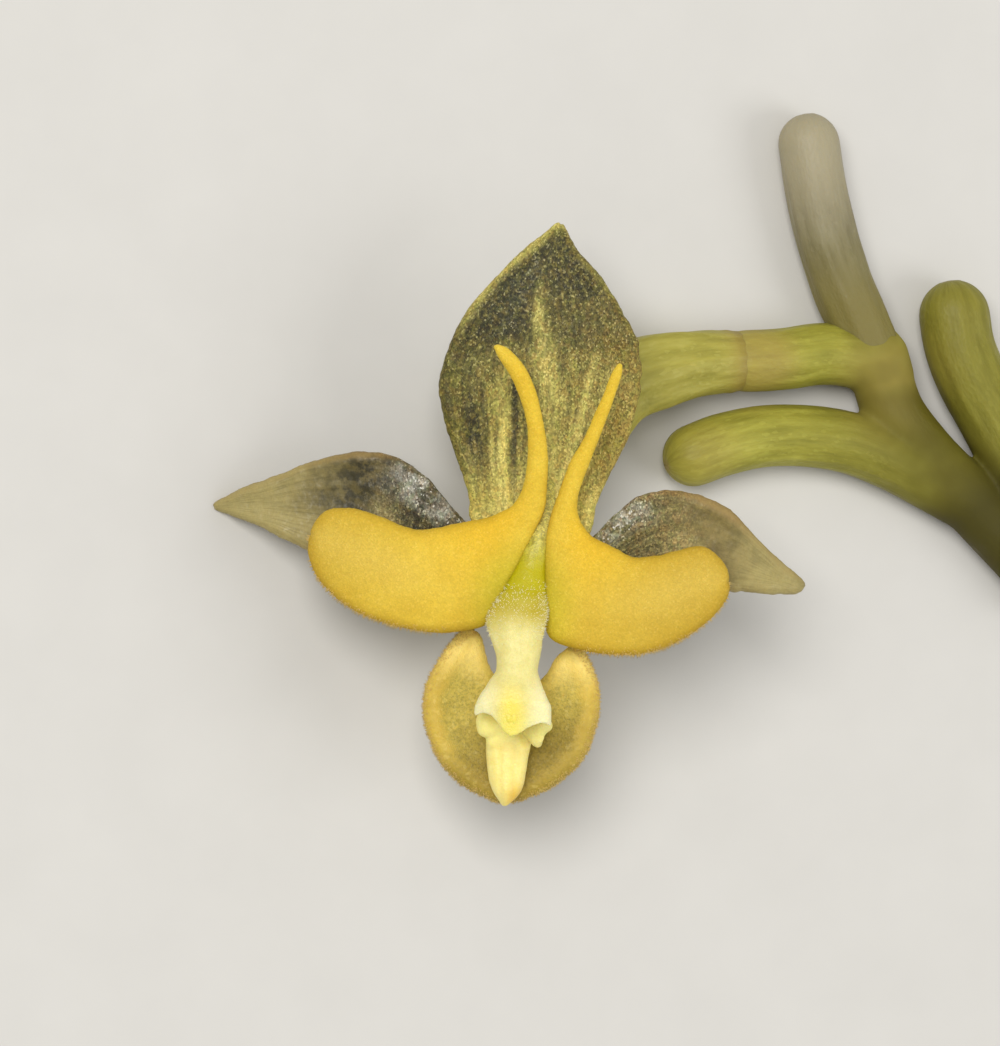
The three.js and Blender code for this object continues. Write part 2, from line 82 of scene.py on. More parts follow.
def rail(points, places):
    """Points on the smooth line through given points, at places from 0 for the first to 1 for the last."""
    given = np.asarray(points, float)
    given = np.vstack([2 * given[0] - given[1], given, 2 * given[-1] - given[-2]])
    spot = np.asarray(places, float) * (len(given) - 3)
    index = np.clip(spot.astype(int), 0, len(given) - 4)
    t = (spot - index)[:, None]
    a, b, c, d = (given[index + k] for k in range(4))
    ab, bc, cd = (np.sqrt(np.linalg.norm(q - p, axis=1))[:, None] for p, q in ((a, b), (b, c), (c, d)))
    bc = np.where(bc < TOO_NEAR, 1, bc)
    ab, cd = np.where(ab < TOO_NEAR, bc, ab), np.where(cd < TOO_NEAR, bc, cd)
    leave = ((b - a) / ab - (c - a) / (ab + bc) + (c - b) / bc) * bc
    reach = ((c - b) / bc - (d - b) / (bc + cd) + (d - c) / cd) * bc
    return b + leave * t + (3 * (c - b) - 2 * leave - reach) * t**2 + (2 * (b - c) + leave + reach) * t**3


def scatter(column, row, seed):
    """A fixed number from 0 to 1 for each square of a grid, from the mixed bits of its place."""
    code = (column * 374761393 + row * 668265263 + seed * 974634777) & 0xFFFFFFFF
    code = ((code ^ (code >> 13)) * 1274126177) & 0xFFFFFFFF
    return ((code ^ (code >> 16)) & 0xFFFF) / 0xFFFF


def drift(x, y, size, seed):
    """Soft unevenness from -1 to 1, with patches of about that size."""
    gx, gy = x / size, y / size
    column, row = np.floor(gx).astype(np.int64), np.floor(gy).astype(np.int64)
    fx, fy = gx - column, gy - row
    fx, fy = fx * fx * (3 - 2 * fx), fy * fy * (3 - 2 * fy)
    low = scatter(column, row, seed) * (1 - fx) + scatter(column + 1, row, seed) * fx
    high = scatter(column, row + 1, seed) * (1 - fx) + scatter(column + 1, row + 1, seed) * fx
    return 2 * (low * (1 - fy) + high * fy) - 1


def fade(value, start, end):
    """From 0 at start to 1 at end, smoothly. The end may lie below the start."""
    t = np.clip((value - start) / (end - start), 0, 1)
    return t * t * (3 - 2 * t)


def hump(value, middle, width):
    """A soft hump, 1 high at its middle."""
    return np.exp(-(((value - middle) / width) ** 2))


def closed_mesh(name, points, faces):
    """A closed mesh from points and faces, with all its faces pointing out."""
    mesh = bpy.data.meshes.new(name)
    mesh.from_pydata([tuple(p) for p in points], [], faces)
    shell = bmesh.new()
    shell.from_mesh(mesh)
    bmesh.ops.recalc_face_normals(shell, faces=shell.faces)
    shell.to_mesh(mesh)
    shell.free()
    piece = bpy.data.objects.new(name, mesh)
    bpy.context.scene.collection.objects.link(piece)
    return piece


def loft(rings):
    """Points and faces of a closed body through rings of as many points, with a flat face at each end."""
    sides = len(rings[0])
    faces = []
    for r in range(len(rings) - 1):
        for k in range(sides):
            here, beside = r * sides + k, r * sides + (k + 1) % sides
            faces.append((here, beside, beside + sides, here + sides))
    faces.append(tuple(range(sides)))
    faces.append(tuple(range((len(rings) - 1) * sides, len(rings) * sides)))
    return np.vstack(rings), faces


def stem_rings(points, radii, steps=120, sides=40, round_start=False, round_end=False):
    """The rings of a round stem through points in space, with domed ends where they are asked for."""
    places = np.linspace(0, 1, steps + 1)
    middle = list(rail(points, places))
    radius = list(np.interp(places, np.linspace(0, 1, len(radii)), radii))
    first, last = middle[0], middle[-1]
    start, end = unit(middle[0] - middle[1]), unit(middle[-1] - middle[-2])
    for angle in DOME_ANGLES:
        if round_start:
            middle.insert(0, first + start * radii[0] * math.sin(angle))
            radius.insert(0, radii[0] * math.cos(angle))
        if round_end:
            middle.append(last + end * radii[-1] * math.sin(angle))
            radius.append(radii[-1] * math.cos(angle))
    turns = np.linspace(0, 2 * math.pi, sides, endpoint=False)
    rings = []
    for i, centre in enumerate(middle):
        along = middle[min(i + 1, len(middle) - 1)] - middle[max(i - 1, 0)]
        sideways = unit(np.cross((0, 0, 1), along))
        above = np.cross(unit(along), sideways)
        circle = np.outer(np.cos(turns), sideways) + np.outer(np.sin(turns), above)
        rings.append(centre + radius[i] * circle)
    return rings


def lying(points, radius):
    """Points of a stem's middle line as it lies on the ground."""
    return [(x, y, radius - STEM_SINK) for x, y in points]


def joined(name, bodies):
    """One mesh that holds several closed bodies."""
    points, faces, start = [], [], 0
    for body_points, body_faces in bodies:
        faces += [tuple(start + index for index in face) for face in body_faces]
        points.append(body_points)
        start += len(body_points)
    return closed_mesh(name, np.vstack(points), faces)


def fix_modifiers(piece):
    """Makes what the piece's modifiers show its plain mesh."""
    shown = piece.evaluated_get(bpy.context.evaluated_depsgraph_get())
    mesh = bpy.data.meshes.new_from_object(shown)
    piece.modifiers.clear()
    piece.data = mesh


def grow_together(piece, voxel, smoothing):
    """Makes bodies that pass into each other one skin, and softens the creases between them."""
    skin = piece.modifiers.new("skin", "REMESH")
    skin.mode = "VOXEL"
    skin.voxel_size = voxel
    soften = piece.modifiers.new("soften", "SMOOTH")
    soften.factor = 0.5
    soften.iterations = smoothing
    fix_modifiers(piece)


def points_of(piece):
    flat = np.empty(3 * len(piece.data.vertices))
    piece.data.vertices.foreach_get("co", flat)
    return flat.reshape(-1, 3)


def normals_of(piece):
    flat = np.empty(3 * len(piece.data.vertices))
    piece.data.vertex_normals.foreach_get("vector", flat)
    return flat.reshape(-1, 3)


def set_points(piece, points):
    piece.data.vertices.foreach_set("co", np.asarray(points, float).ravel())
    piece.data.update()


def set_tone(piece, name, values):
    """Keeps a number for each point of the skin, which its finish reads by this name."""
    layer = piece.data.attributes.new(name, "FLOAT", "POINT")
    layer.data.foreach_set("value", np.asarray(values, np.float32).ravel())


def set_down(piece):
    """Brings a finished mesh from the ground frame to its place in the model, in metres."""
    x, y = FOOTPRINT_MIDDLE
    piece.data.transform(Matrix.Diagonal((MM, MM, MM, 1)) @ Matrix.Translation((-x, -y, 0)))
    piece.data.polygons.foreach_set("use_smooth", np.ones(len(piece.data.polygons), bool))
    piece.data.update()


def from_place(points, place):
    """How far points lie from a place on the ground, as seen from above."""
    return np.linalg.norm(points[:, :2] - place, axis=1)


def from_line(points, line):
    """How far points lie from a smooth line on the ground, as seen from above."""
    middle = rail(line, np.linspace(0, 1, LINE_SAMPLES))
    return np.linalg.norm(points[:, None, :2] - middle[None], axis=2).min(axis=1)


def along_stems(points, stems):
    """How far along the nearest stem points lie, the turn round it, and how clear of the others they are."""
    every = np.arange(len(points))
    found = []
    for number, line in enumerate(stems):
        middle = rail(line, np.linspace(0, 1, STEM_SAMPLES))
        length = np.concatenate([[0], np.cumsum(np.linalg.norm(np.diff(middle, axis=0), axis=1))])
        direction = np.gradient(middle, axis=0)
        direction /= np.linalg.norm(direction, axis=1)[:, None]
        gaps = np.linalg.norm(points[:, None] - middle[None], axis=2)
        nearest = gaps.argmin(axis=1)
        off, way = points - middle[nearest], direction[nearest]
        sideways = np.cross((0, 0, 1), way)
        along = length[nearest] + (off * way).sum(axis=1) + GRAIN_START + GRAIN_APART * number
        found.append((gaps[every, nearest], along, np.arctan2((off * sideways).sum(axis=1), off[:, 2])))
    gaps, alongs, turns = (np.array(part) for part in zip(*found))
    best = gaps.argmin(axis=0)
    clear = np.ones(len(points))
    if len(stems) > 1:
        ordered = np.sort(gaps, axis=0)
        clear = fade(ordered[1] - ordered[0], 0.1, 0.5)
    return alongs[best, every], turns[best, every], clear


def furrow(piece, stems, depth, furrows, seed, cut=0):
    """Cuts fine furrows along stems, but not on a cut face, and keeps the grain that the finish reads."""
    points = points_of(piece)
    along, turn, clear = along_stems(points, stems)
    clear = clear * (1 - cut)
    wander = drift(along, turn, 1.3, seed)
    ridges = np.sin(furrows * turn + 1.6 * wander) * (0.6 + 0.4 * drift(along, turn * 2, 0.9, seed + 1))
    ridges *= clear * fade(along % GRAIN_APART, 1.0, 2.2)
    lumps = drift(points[:, 0], points[:, 1], 0.5, seed + 2)
    moved = points + normals_of(piece) * (depth * (ridges + 0.7 * lumps * (1 - cut)))[:, None]
    moved[:, 2] = np.maximum(moved[:, 2], 0)
    set_points(piece, moved)
    set_tone(piece, "grain_round", turn * STEM_RADIUS)
    set_tone(piece, "grain_along", along)
    set_tone(piece, "plain", 1 - clear)


def scar_end(piece, line, stem_radius, radius):
    """Presses in the round scar with its raised rim, at a stem's first end, and gives where it is."""
    points = points_of(piece)
    way = unit(np.subtract(line[0], line[1]))
    off = points - np.add(line[0], way * stem_radius)
    reach = off @ way
    sideways = np.linalg.norm(off - np.outer(reach, way), axis=1)
    near = fade(reach, -0.3, -0.02)
    dip = near * fade(sideways, radius, 0.45 * radius)
    rim = near * hump(sideways, radius, 0.25 * radius)
    set_points(piece, points + np.outer(SCAR_DEPTH * (0.35 * rim - dip), way))
    return dip


def amounts(value):
    """A colour as seen, from 0 to 255, or a plain number, as the amounts that a shader takes."""
    if isinstance(value, tuple):
        parts = [part / 255 for part in value]
        return tuple(p / 12.92 if p < 0.04 else ((p + 0.055) / 1.055) ** 2.4 for p in parts) + (1.0,)
    return (value, value, value, 1.0) if isinstance(value, (int, float)) else value


class Finish:
    """A material made by nodes that feed its one shader."""

    def __init__(self, name, specular, roughness=None, soft_light=0.0, soft_reach=0.3):
        self.material = bpy.data.materials.new(name)
        self.material.use_nodes = True
        self.nodes = self.material.node_tree.nodes
        self.links = self.material.node_tree.links
        self.shader = self.nodes["Principled BSDF"]
        self.feed("Roughness", roughness)
        self.feed("Specular IOR Level", specular)
        self.feed("Subsurface Weight", soft_light)
        self.feed("Subsurface Scale", soft_reach * MM)
        self.feed("Subsurface Radius", (1.0, 0.7, 0.3))

    def join(self, socket, value):
        if isinstance(value, bpy.types.NodeSocket):
            self.links.new(value, socket)
        elif value is not None:
            socket.default_value = value

    def feed(self, name, value):
        self.join(self.shader.inputs[name], value)

    def node(self, kind, values=(), **settings):
        made = self.nodes.new("ShaderNode" + kind)
        for name, setting in settings.items():
            setattr(made, name, setting)
        for name, value in dict(values).items():
            self.join(made.inputs[name], value)
        return made

    def calc(self, operation, first, second):
        return self.node("Math", {0: first, 1: second}, operation=operation).outputs[0]

    def tone(self, name):
        return self.node("Attribute", attribute_name=name).outputs["Fac"]

    def place(self, stretch=(1, 1, 1)):
        """Places on the piece, in millimetres, drawn together along each axis by the stretch."""
        here = self.node("TexCoord").outputs["Object"]
        scale = tuple(1 / (MM * part) for part in stretch)
        return self.node("Mapping", {"Vector": here, "Scale": scale}).outputs[0]

    def grain(self, along):
        """Places along and round a stem or a leaf, in millimetres, drawn together lengthwise."""
        lengthwise = self.calc("DIVIDE", self.tone("grain_along"), along)
        return self.node("CombineXYZ", {"X": lengthwise, "Y": self.tone("grain_round")}).outputs[0]

    def mottle(self, size, detail=3.0, place=None):
        """Soft patches of about that size, from 0 to 1."""
        values = {"Vector": place or self.place(), "Scale": 1 / size, "Detail": detail, "Roughness": 0.6}
        return self.node("TexNoise", values).outputs[0]

    def cells(self, size, place=None):
        """Cells of tissue of about that size: a number from 0 to 1 for each, and the way off its middle."""
        cell = self.node("TexVoronoi", {"Vector": place or self.place(), "Scale": 1 / size})
        return self.node("SeparateColor", {0: cell.outputs["Color"]}).outputs[0], cell.outputs["Distance"]

    def ramp(self, value, *stops):
        """Colours or numbers along a value: each stop is a place and what it is there."""
        made = self.node("ValToRGB", {0: value})
        steps = made.color_ramp.elements
        while len(steps) < len(stops):
            steps.new(1.0)
        for step, (place, colour) in zip(steps, stops):
            step.position = place
            step.color = amounts(colour)
        return made.outputs[0]

    def some(self, number, start, end, strength):
        """A few of the cells: nothing up to the start, and the strength from the end on."""
        return self.calc("MULTIPLY", self.ramp(number, (start, 0.0), (end, 1.0)), strength)

    def over(self, amount, ground, colour, mode="MIX"):
        """Lays a colour over another in the given amount."""
        mix = self.node("Mix", data_type="RGBA", blend_type=mode, clamp_factor=True)
        for index, value in ((0, amount), (6, amounts(ground)), (7, amounts(colour))):
            self.join(mix.inputs[index], value)
        return mix.outputs[2]

    def tinted(self, ground, *layers):
        """Lays colours over a ground, one after another: each has its tone, its strength and its colour."""
        for tone, strength, colour in layers:
            ground = self.over(self.calc("MULTIPLY", self.tone(tone), strength), ground, colour)
        return ground

    def shaded(self, ground, strength, number, *stops):
        """Makes a colour darker and lighter along a number, such as from cell to cell."""
        return self.over(strength, ground, self.ramp(number, *stops), "MULTIPLY")

    def relief(self, height, depth, strength=1.0, under=None):
        values = {"Height": height, "Distance": depth * MM, "Strength": strength, "Normal": under}
        return self.node("Bump", values).outputs[0]


def stem_finish(name, dark, fresh, pale, end, shade):
    """Juicy stem skin: lengthwise streaks, pale stomata, tinted ends, painted shade and a pale cut face."""
    finish = Finish(name, specular=0.3, soft_light=0.25, soft_reach=0.35)
    plain = finish.tone("plain")
    clear = finish.calc("SUBTRACT", 1.0, plain)
    streaks = finish.over(plain, finish.mottle(0.16, place=finish.grain(6.0)), finish.mottle(0.5, 1.0))
    blotches = finish.ramp(finish.mottle(0.9, 2.0), (0.3, 0.0), (0.7, 1.0))
    colour = finish.ramp(streaks, (0.3, dark), (0.52, fresh), (0.78, pale))
    colour = finish.over(finish.calc("MULTIPLY", blotches, 0.35), colour, dark)
    number, distance = finish.cells(0.05, finish.grain(1.8))
    stomata = finish.calc("MULTIPLY", finish.some(number, 0.86, 0.95, clear), 0.28)
    colour = finish.over(stomata, colour, pale)
    # The shade colours are painted shade, laid where the shaded and far tones say.
    far_shade = tuple(0.74 * part for part in shade)
    cut_face = finish.ramp(streaks, (0.35, (150, 146, 84)), (0.7, (178, 172, 112)))
    colour = finish.tinted(colour, ("end", 1.0, end), ("shaded", 1.0, shade), ("far", 0.8, far_shade),
                           ("cut", 1.0, cut_face))
    finish.feed("Base Color", colour)
    roughness = finish.ramp(streaks, (0.3, 0.6), (0.7, 0.42))
    finish.feed("Roughness", finish.over(plain, roughness, PLAIN_ROUGHNESS))
    skin = finish.relief(finish.calc("MULTIPLY", distance, clear), 0.006)
    finish.feed("Normal", finish.relief(streaks, 0.014, under=skin))
    return finish


raceme_stems = [(RACHIS, STEM_RADIUS), (FLOWER_PEDICEL, STEM_RADIUS), (LOWER_PEDICEL, STEM_RADIUS),
                (RIGHT_PEDICEL, RIGHT_PEDICEL_RADIUS)]
raceme_lines = [lying(line, radius) for line, radius in raceme_stems]
bodies = [loft(stem_rings(line, [radius], round_start=True))
          for line, (_, radius) in zip(raceme_lines, raceme_stems)]
bodies.append(loft(stem_rings(lying(COLLAR, STEM_RADIUS), COLLAR_RADII)))
raceme = joined("green_raceme", bodies)
grow_together(raceme, voxel=0.045, smoothing=14)

# The two stalks that have lost their flowers end in scars.
scar = np.zeros(len(raceme.data.vertices))
for line, radius in ((raceme_lines[2], STEM_RADIUS), (raceme_lines[3], RIGHT_PEDICEL_RADIUS)):
    scar += scar_end(raceme, line, radius, 0.3 * radius)
spots = points_of(raceme)

# The cut face at the rachis's far end stays smooth, and is pale inside its green skin.
cut_way = unit(np.subtract(RACHIS[-1], RACHIS[-2]))
from_cut = spots - (*RACHIS[-1], STEM_RADIUS - STEM_SINK)
beyond = from_cut[:, :2] @ cut_way
from_cut[:, :2] -= np.outer(beyond, cut_way)
off_middle = np.linalg.norm(from_cut, axis=1)
end_face = fade(beyond, -0.09, -0.03)
furrow(raceme, raceme_lines, STEM_FURROW_DEPTH, STEM_FURROWS, seed=3, cut=end_face)
set_tone(raceme, "cut", end_face * (1 - 0.75 * fade(off_middle, 0.4, 0.5)))

# The scars, the fork and the flower's joint are tan. Painted shade makes the stems darker and browner to the
# right, where the light falls off.
fork = fade(from_place(spots, FORK), 1.5, 0.3)
joint = fade(from_place(spots, FLOWER_PEDICEL[0]), 1.1, 0.4)
tips = (0.25 * fade(from_place(spots, LOWER_PEDICEL[0]), 1.1, 0.1)
        + 0.1 * fade(from_place(spots, RIGHT_PEDICEL[0]), 1, 0))
set_tone(raceme, "end", np.clip(tips + 0.5 * fork + 0.5 * scar + 0.5 * joint, 0, 1))
on_right = fade(from_line(spots, RACHIS) - from_line(spots, RIGHT_PEDICEL), -0.1, 0.7)
shaded = np.clip((spots[:, 0] + 0.35 * (spots[:, 1] - 2.3) - 4.8) / 3.3, 0, 1) ** 1.6
shaded *= 1 - 0.75 * fade(spots[:, 1], 3.3, 3.9) * (1 - on_right)
# The stems are darker at the fork and round the dry pedicel's foot too.
dim = np.maximum(0.4 * fade(from_place(spots, COLLAR[-1]), 0.9, 0.3), 0.45 * fork * (1 - on_right))
set_tone(raceme, "shaded", np.maximum(0.88 * shaded * (1 - 0.45 * on_right), dim))
# The far tone paints more shade on the rachis at the far right.
set_tone(raceme, "far", fade(spots[:, 0] - 1.2 * (spots[:, 1] - 1.5), 7.6, 9.2) * (1 - on_right))
set_down(raceme)
raceme_skin = stem_finish("raceme_skin", dark=(138, 134, 46), fresh=(162, 157, 60), pale=(184, 179, 78),
                          end=(168, 142, 78), shade=(84, 76, 8))
raceme.data.materials.append(raceme_skin.material)
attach(raceme, "root")
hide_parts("raceme")

# Spent pedicel
# The stalk of an earlier flower, long dry: grey and finely wrinkled, with a rounded scar at its top.
# Its foot is still grown into the fork between the flower's own stalk and the rachis.

SPENT_PEDICEL = [(5.92, 7.83), (6.03, 7.16), (6.23, 6.28), (6.53, 5.4), (6.87, 4.66), (7.18, 4.02),
                 (7.42, 3.4)]
SPENT_RADII = [0.54, 0.55, 0.55, 0.55, 0.55, 0.51, 0.42]
spent_line = lying(SPENT_PEDICEL, STEM_RADIUS)
spent = closed_mesh("dry_pedicel", *loft(stem_rings(spent_line, SPENT_RADII, round_start=True)))
grow_together(spent, voxel=0.04, smoothing=6)
scar_end(spent, spent_line, STEM_RADIUS, 0.16)
furrow(spent, [spent_line], depth=0.016, furrows=9, seed=11)
spots = points_of(spent)
set_tone(spent, "end", fade(from_place(spots, SPENT_PEDICEL[0]), 2.3, 0.1))
set_tone(spent, "shaded", fade(spots[:, 1], 6.6, 4.7))
set_down(spent)
spent_skin = stem_finish("dry_skin", dark=(106, 98, 66), fresh=(130, 123, 90), pale=(150, 143, 112),
                         end=(163, 154, 126), shade=(126, 116, 64))
spent.data.materials.append(spent_skin.material)
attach(spent, "root")
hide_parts("spent_pedicel")

# Ovary
# The green ovary behind the flower, gently six-ribbed. It comes down from the sepals to the ground and ends
# in the ringed joint where it will part from its stalk.

LEAN = math.radians(18)  # how far the flower leans over to the left
FLOWER_HEIGHT = 2.48
OVARY_UPPER = [  # in the flower frame
    (0.05, -0.05, -0.12), (0.1, 0.12, -0.6), (0.3, 0.7, -1.0), (0.6, 1.5, -1.35), (0.9, 2.32, -1.75),
    (1.22, 3.02, -2.15), (1.67, 3.55, -2.5), (2.32, 3.8, -2.72)]
OVARY_LOWER = [(3.69, 3.92, 0.55), (4.6, 3.99, 0.49)]  # on the ground
OVARY_RADII = [0.42, 0.45, 0.52, 0.58, 0.64, 0.68, 0.7, 0.68, 0.6, 0.53]

flower_place = Matrix.Translation((0, 0, FLOWER_HEIGHT)) @ Matrix.Rotation(-LEAN, 4, "Y")
ovary_line = [tuple(flower_place @ Vector(point)) for point in OVARY_UPPER] + OVARY_LOWER
ovary = closed_mesh("green_ovary", *loft(stem_rings(ovary_line, OVARY_RADII, steps=160, round_end=True)))
grow_together(ovary, voxel=0.04, smoothing=5)
points = points_of(ovary)
along, turn, _ = along_stems(points, [ovary_line])
whole = along.max() - OVARY_RADII[-1]
ring = 0.015 * hump(along, whole - 0.2, 0.09)
ribs = 0.035 * np.cos(6 * turn) * fade(along, 0.3, 1.2) * fade(along, whole - 0.4, whole - 1.2)
set_points(ovary, points + normals_of(ovary) * (ribs + ring)[:, None])
furrow(ovary, [ovary_line], STEM_FURROW_DEPTH, STEM_FURROWS, seed=5)
set_tone(ovary, "end", 0.75 * hump(along, whole, 0.32))
# Painted shade, darker where the ovary runs in under the flower.
set_tone(ovary, "shaded", 0.5 * fade(along, 2.8, 1.2))
set_down(ovary)
ovary_skin = stem_finish("ovary_skin", dark=(150, 143, 60), fresh=(173, 164, 74), pale=(190, 182, 96),
                         end=(144, 120, 56), shade=(126, 118, 46))
ovary.data.materials.append(ovary_skin.material)
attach(ovary, "root")
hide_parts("ovary")

# Dorsal sepal
# The broad upper sepal: a thin, pointed leaf of tissue with a finely uneven margin and three pale veins.
# Its big, bulging surface cells glitter in the light like sugar.

DORSAL_EDGES = [
    [(-0.29, 0.29), (-0.65, 0.75), (-0.94, 1.21), (-0.97, 1.64), (-1.11, 2.09), (-1.32, 2.7), (-1.44, 3.45),
     (-1.32, 3.97), (-1.06, 4.58), (-0.62, 5.15), (-0.1, 5.68), (0.31, 6.02), (0.56, 6.24)],
    [(0.27, 0.29), (0.7, 0.6), (1.11, 0.96), (1.23, 1.5), (1.44, 1.95), (1.78, 2.68), (1.98, 3.59),
     (1.93, 4.14), (1.73, 4.62), (1.42, 5.16), (1.04, 5.62), (0.79, 5.97), (0.65, 6.24)],
]
DORSAL_FORM = {"fall": 0.3, "cup": 0.18, "waves": 5, "wave_height": 0.07, "rim": 0.05, "ragged": 1.0}
VEINS = (-0.42, 0.1, 0.48)  # where they lie across a sepal
SEPAL_HALF = 0.14  # half the thickness of a sepal
SEPAL_BREADTH = 1.6  # half a sepal's width, as its lengthwise grain is drawn
SEPAL_LENGTH = 6
RIM_STEPS = 5
BLADE_VOXEL = 0.024
OUTLINE_SAMPLES = 1200
WIDEST_WITHIN = 0.25  # how far off along a leaf its greatest width is looked for


def tree_of(points):
    """A search tree of points in space."""
    tree = KDTree(len(points))
    for index, point in enumerate(points):
        tree.insert(point, index)
    tree.balance()
    return tree


def from_outline(flat, edges):
    """The distance of each point of a leaf, as it lies flat, from the leaf's outline."""
    sides = [rail(edge, np.linspace(0, 1, OUTLINE_SAMPLES)) for edge in edges]
    ends = [np.linspace(sides[0][at], sides[1][at], 20) for at in (0, -1)]
    tree = tree_of([(x, y, 0) for x, y in np.vstack(sides + ends)])
    return np.array([[tree.find((x, y, 0))[2] for x, y in row] for row in flat])


def leaf_faces(rows, columns):
    """Faces of a leaf's front and back, which share the points of its long edges, and of its two ends."""
    ahead = np.arange(rows * columns).reshape(rows, columns)
    behind = ahead.copy()
    behind[:, 1:-1] = rows * columns + np.arange(rows * (columns - 2)).reshape(rows, columns - 2)
    faces = []
    for sheet in (ahead, behind):
        corners = [sheet[:-1, :-1], sheet[:-1, 1:], sheet[1:, 1:], sheet[1:, :-1]]
        faces += np.dstack(corners).reshape(-1, 4).tolist()
    for row in (0, -1):
        for j in range(columns - 1):
            corners = (ahead[row, j], ahead[row, j + 1], behind[row, j + 1], behind[row, j])
            faces.append(list(dict.fromkeys(int(corner) for corner in corners)))
    return faces


def leaf(edges, depth, half, stations, spans, crimp):
    """Points and faces of a leaf of tissue between two edges, rounded off all round, and the points' places.

    depth is a function of x, y, s from 0 to 1 along it and u from -1 to 1 across it. crimp is one of s and
    of the margin, -1 or 1, that it moves in and out. The places are s, u, the distance from the margin,
    and the face, 1 in front and -1 behind."""
    s = np.linspace(0, 1, stations + 1)[:, None]
    first, second = (rail(edge, s[:, 0]) for edge in edges)
    centre, span = (first + second) / 2, (second - first) / 2
    width = 2 * np.linalg.norm(span, axis=1)[:, None]
    rim = np.minimum(2 * half / width, 0.9)
    turn = np.linspace(0, math.pi / 2, RIM_STEPS + 1)[None, 1:]
    outer = 1 - rim + rim * np.sin(turn)
    u = np.hstack([-outer[:, ::-1], np.linspace(-1, 1, spans + 1)[None, :] * (1 - rim), outer])

    # Where it is narrow, a leaf is no thicker than its width allows.
    inset = from_outline(centre[:, None] + span[:, None] * u[..., None], edges)
    near = int(WIDEST_WITHIN / np.linalg.norm(np.diff(centre, axis=0), axis=1).sum() * stations) + 1
    padded = np.pad(inset.max(axis=1), near, mode="edge")
    widest = np.lib.stride_tricks.sliding_window_view(padded, 2 * near + 1).max(axis=1)
    thick = np.minimum(half, 0.9 * widest)[:, None]
    level = np.maximum(np.sqrt(1 - np.clip(1 - inset / thick, 0, 1) ** 2), 0.1)
    level[:, [0, -1]] = 0

    out = 2 * fade(width, 0.1, 0.9) * np.where(u < 0, crimp(s, -1), crimp(s, 1)) / width
    flat = centre[:, None] + span[:, None] * (u + np.sign(u) * np.abs(u) ** 10 * out)[..., None]
    x, y = flat[..., 0], flat[..., 1]
    s = s + 0 * u
    middle = np.dstack([x, y, depth(x, y, s, u)])
    normal = np.cross(np.gradient(middle, axis=0), np.gradient(middle, axis=1))
    normal /= np.linalg.norm(normal, axis=2)[..., None]
    normal *= np.sign(normal[..., 2].mean())
    offset = normal * (level * thick)[..., None]
    points = np.vstack([(middle + offset).reshape(-1, 3), (middle - offset)[:, 1:-1].reshape(-1, 3)])
    places = [np.concatenate([part.ravel(), part[:, 1:-1].ravel()]) for part in (s, u, inset)]
    places.append(np.where(np.arange(len(points)) < u.size, 1.0, -1.0))
    return points, leaf_faces(*u.shape), places


def evened(piece, values, passes=4):
    """Values for the points of a skin, each evened out with its neighbours'."""
    ends = np.empty(2 * len(piece.data.edges), np.int32)
    piece.data.edges.foreach_get("vertices", ends)
    first, second = ends.reshape(-1, 2).T
    beside = np.bincount(ends, minlength=len(values))
    for _ in range(passes):
        total = np.bincount(first, values[second], len(values))
        total += np.bincount(second, values[first], len(values))
        values = (values + total / beside) / 2
    return values


def blade(name, edges, depth, half, stations, spans, crimp, relief, tones):
    """A leaf of tissue as one soft skin. relief and tones are functions of x, y and each point's place."""
    points, faces, places = leaf(edges, depth, half, stations, spans, crimp)
    piece = closed_mesh(name, points, faces)
    grow_together(piece, BLADE_VOXEL, smoothing=4)
    tree = tree_of(points)
    spots = points_of(piece)
    nearest = [tree.find(spot)[1] for spot in spots]
    places = (spots[:, 0], spots[:, 1], *(evened(piece, part[nearest]) for part in places))
    set_points(piece, spots + normals_of(piece) * relief(*places)[:, None])
    for tone, values in tones(*places).items():
        set_tone(piece, tone, values)
    return piece


def lean_over(piece):
    """Brings a finished mesh from the flower frame to its place in the model, in metres."""
    piece.data.transform(flower_place)
    set_down(piece)


def sepal(name, edges, form, stations, spans, tones, seed):
    """A sepal: its tip falls back, its margins stand a little forward, and small cells bulge all over it."""
    def depth(x, y, s, u):
        wave = form["wave_height"] * np.sin(2 * math.pi * form["waves"] * s + u) * np.abs(u) ** 3
        return -form["fall"] * s**2 + (form["cup"] * u**2 + wave) * np.sin(math.pi * s)

    def crimp(s, side):
        coarse, fine = drift(s * 50, s * 0 + side * 7, 1.0, seed), drift(s * 150, s * 0, 1.0, seed + 1)
        return (0.5 + form["ragged"] * hump(s, 0.6, 0.12) * (side > 0)) * (0.02 * coarse + 0.01 * fine)

    def relief(x, y, s, u, inset, side):
        cells = 0.005 * drift(x, y * 0.8, 0.05, seed + 2) + 0.01 * drift(x * 2, y, 0.3, seed + 3)
        veins = sum(0.02 * hump(u, vein, 0.08) for vein in VEINS)
        rim = form["rim"] * hump(inset, 0, 0.09) * np.where(u < 0, 1.0, 0.4) * fade(s, 0.4, 0.6)
        return cells + rim + veins * (1 - s) * np.where(side > 0, 1.0, 1.6)

    return blade(name, edges, depth, SEPAL_HALF, stations, spans, crimp, relief, tones)


# Each streak: its place across at 0.3 along, slope, half width, strength, and where it starts and ends.
PALE_STREAKS = [
    (-0.43, 0.15, 0.07, 1.0, 0.1, 0.6), (-0.56, 0.0, 0.04, 0.5, 0.1, 0.5), (0.2, -0.7, 0.1, 0.62, 0.0, 0.82),
    (0.33, 0.8, 0.05, 0.7, 0.15, 0.62), (0.6, 0.5, 0.06, 0.4, 0.15, 0.6),
]
DARK_STREAKS = [
    (-0.27, 0.1, 0.05, 1.3, 0.2, 0.6), (-0.73, 0.0, 0.1, 0.9, 0.2, 0.55), (0.02, 0.0, 0.04, 0.6, 0.2, 0.5),
    (-0.5, 0.1, 0.025, 0.9, 0.2, 0.5), (0.4, 0.6, 0.04, 0.5, 0.2, 0.55),
]


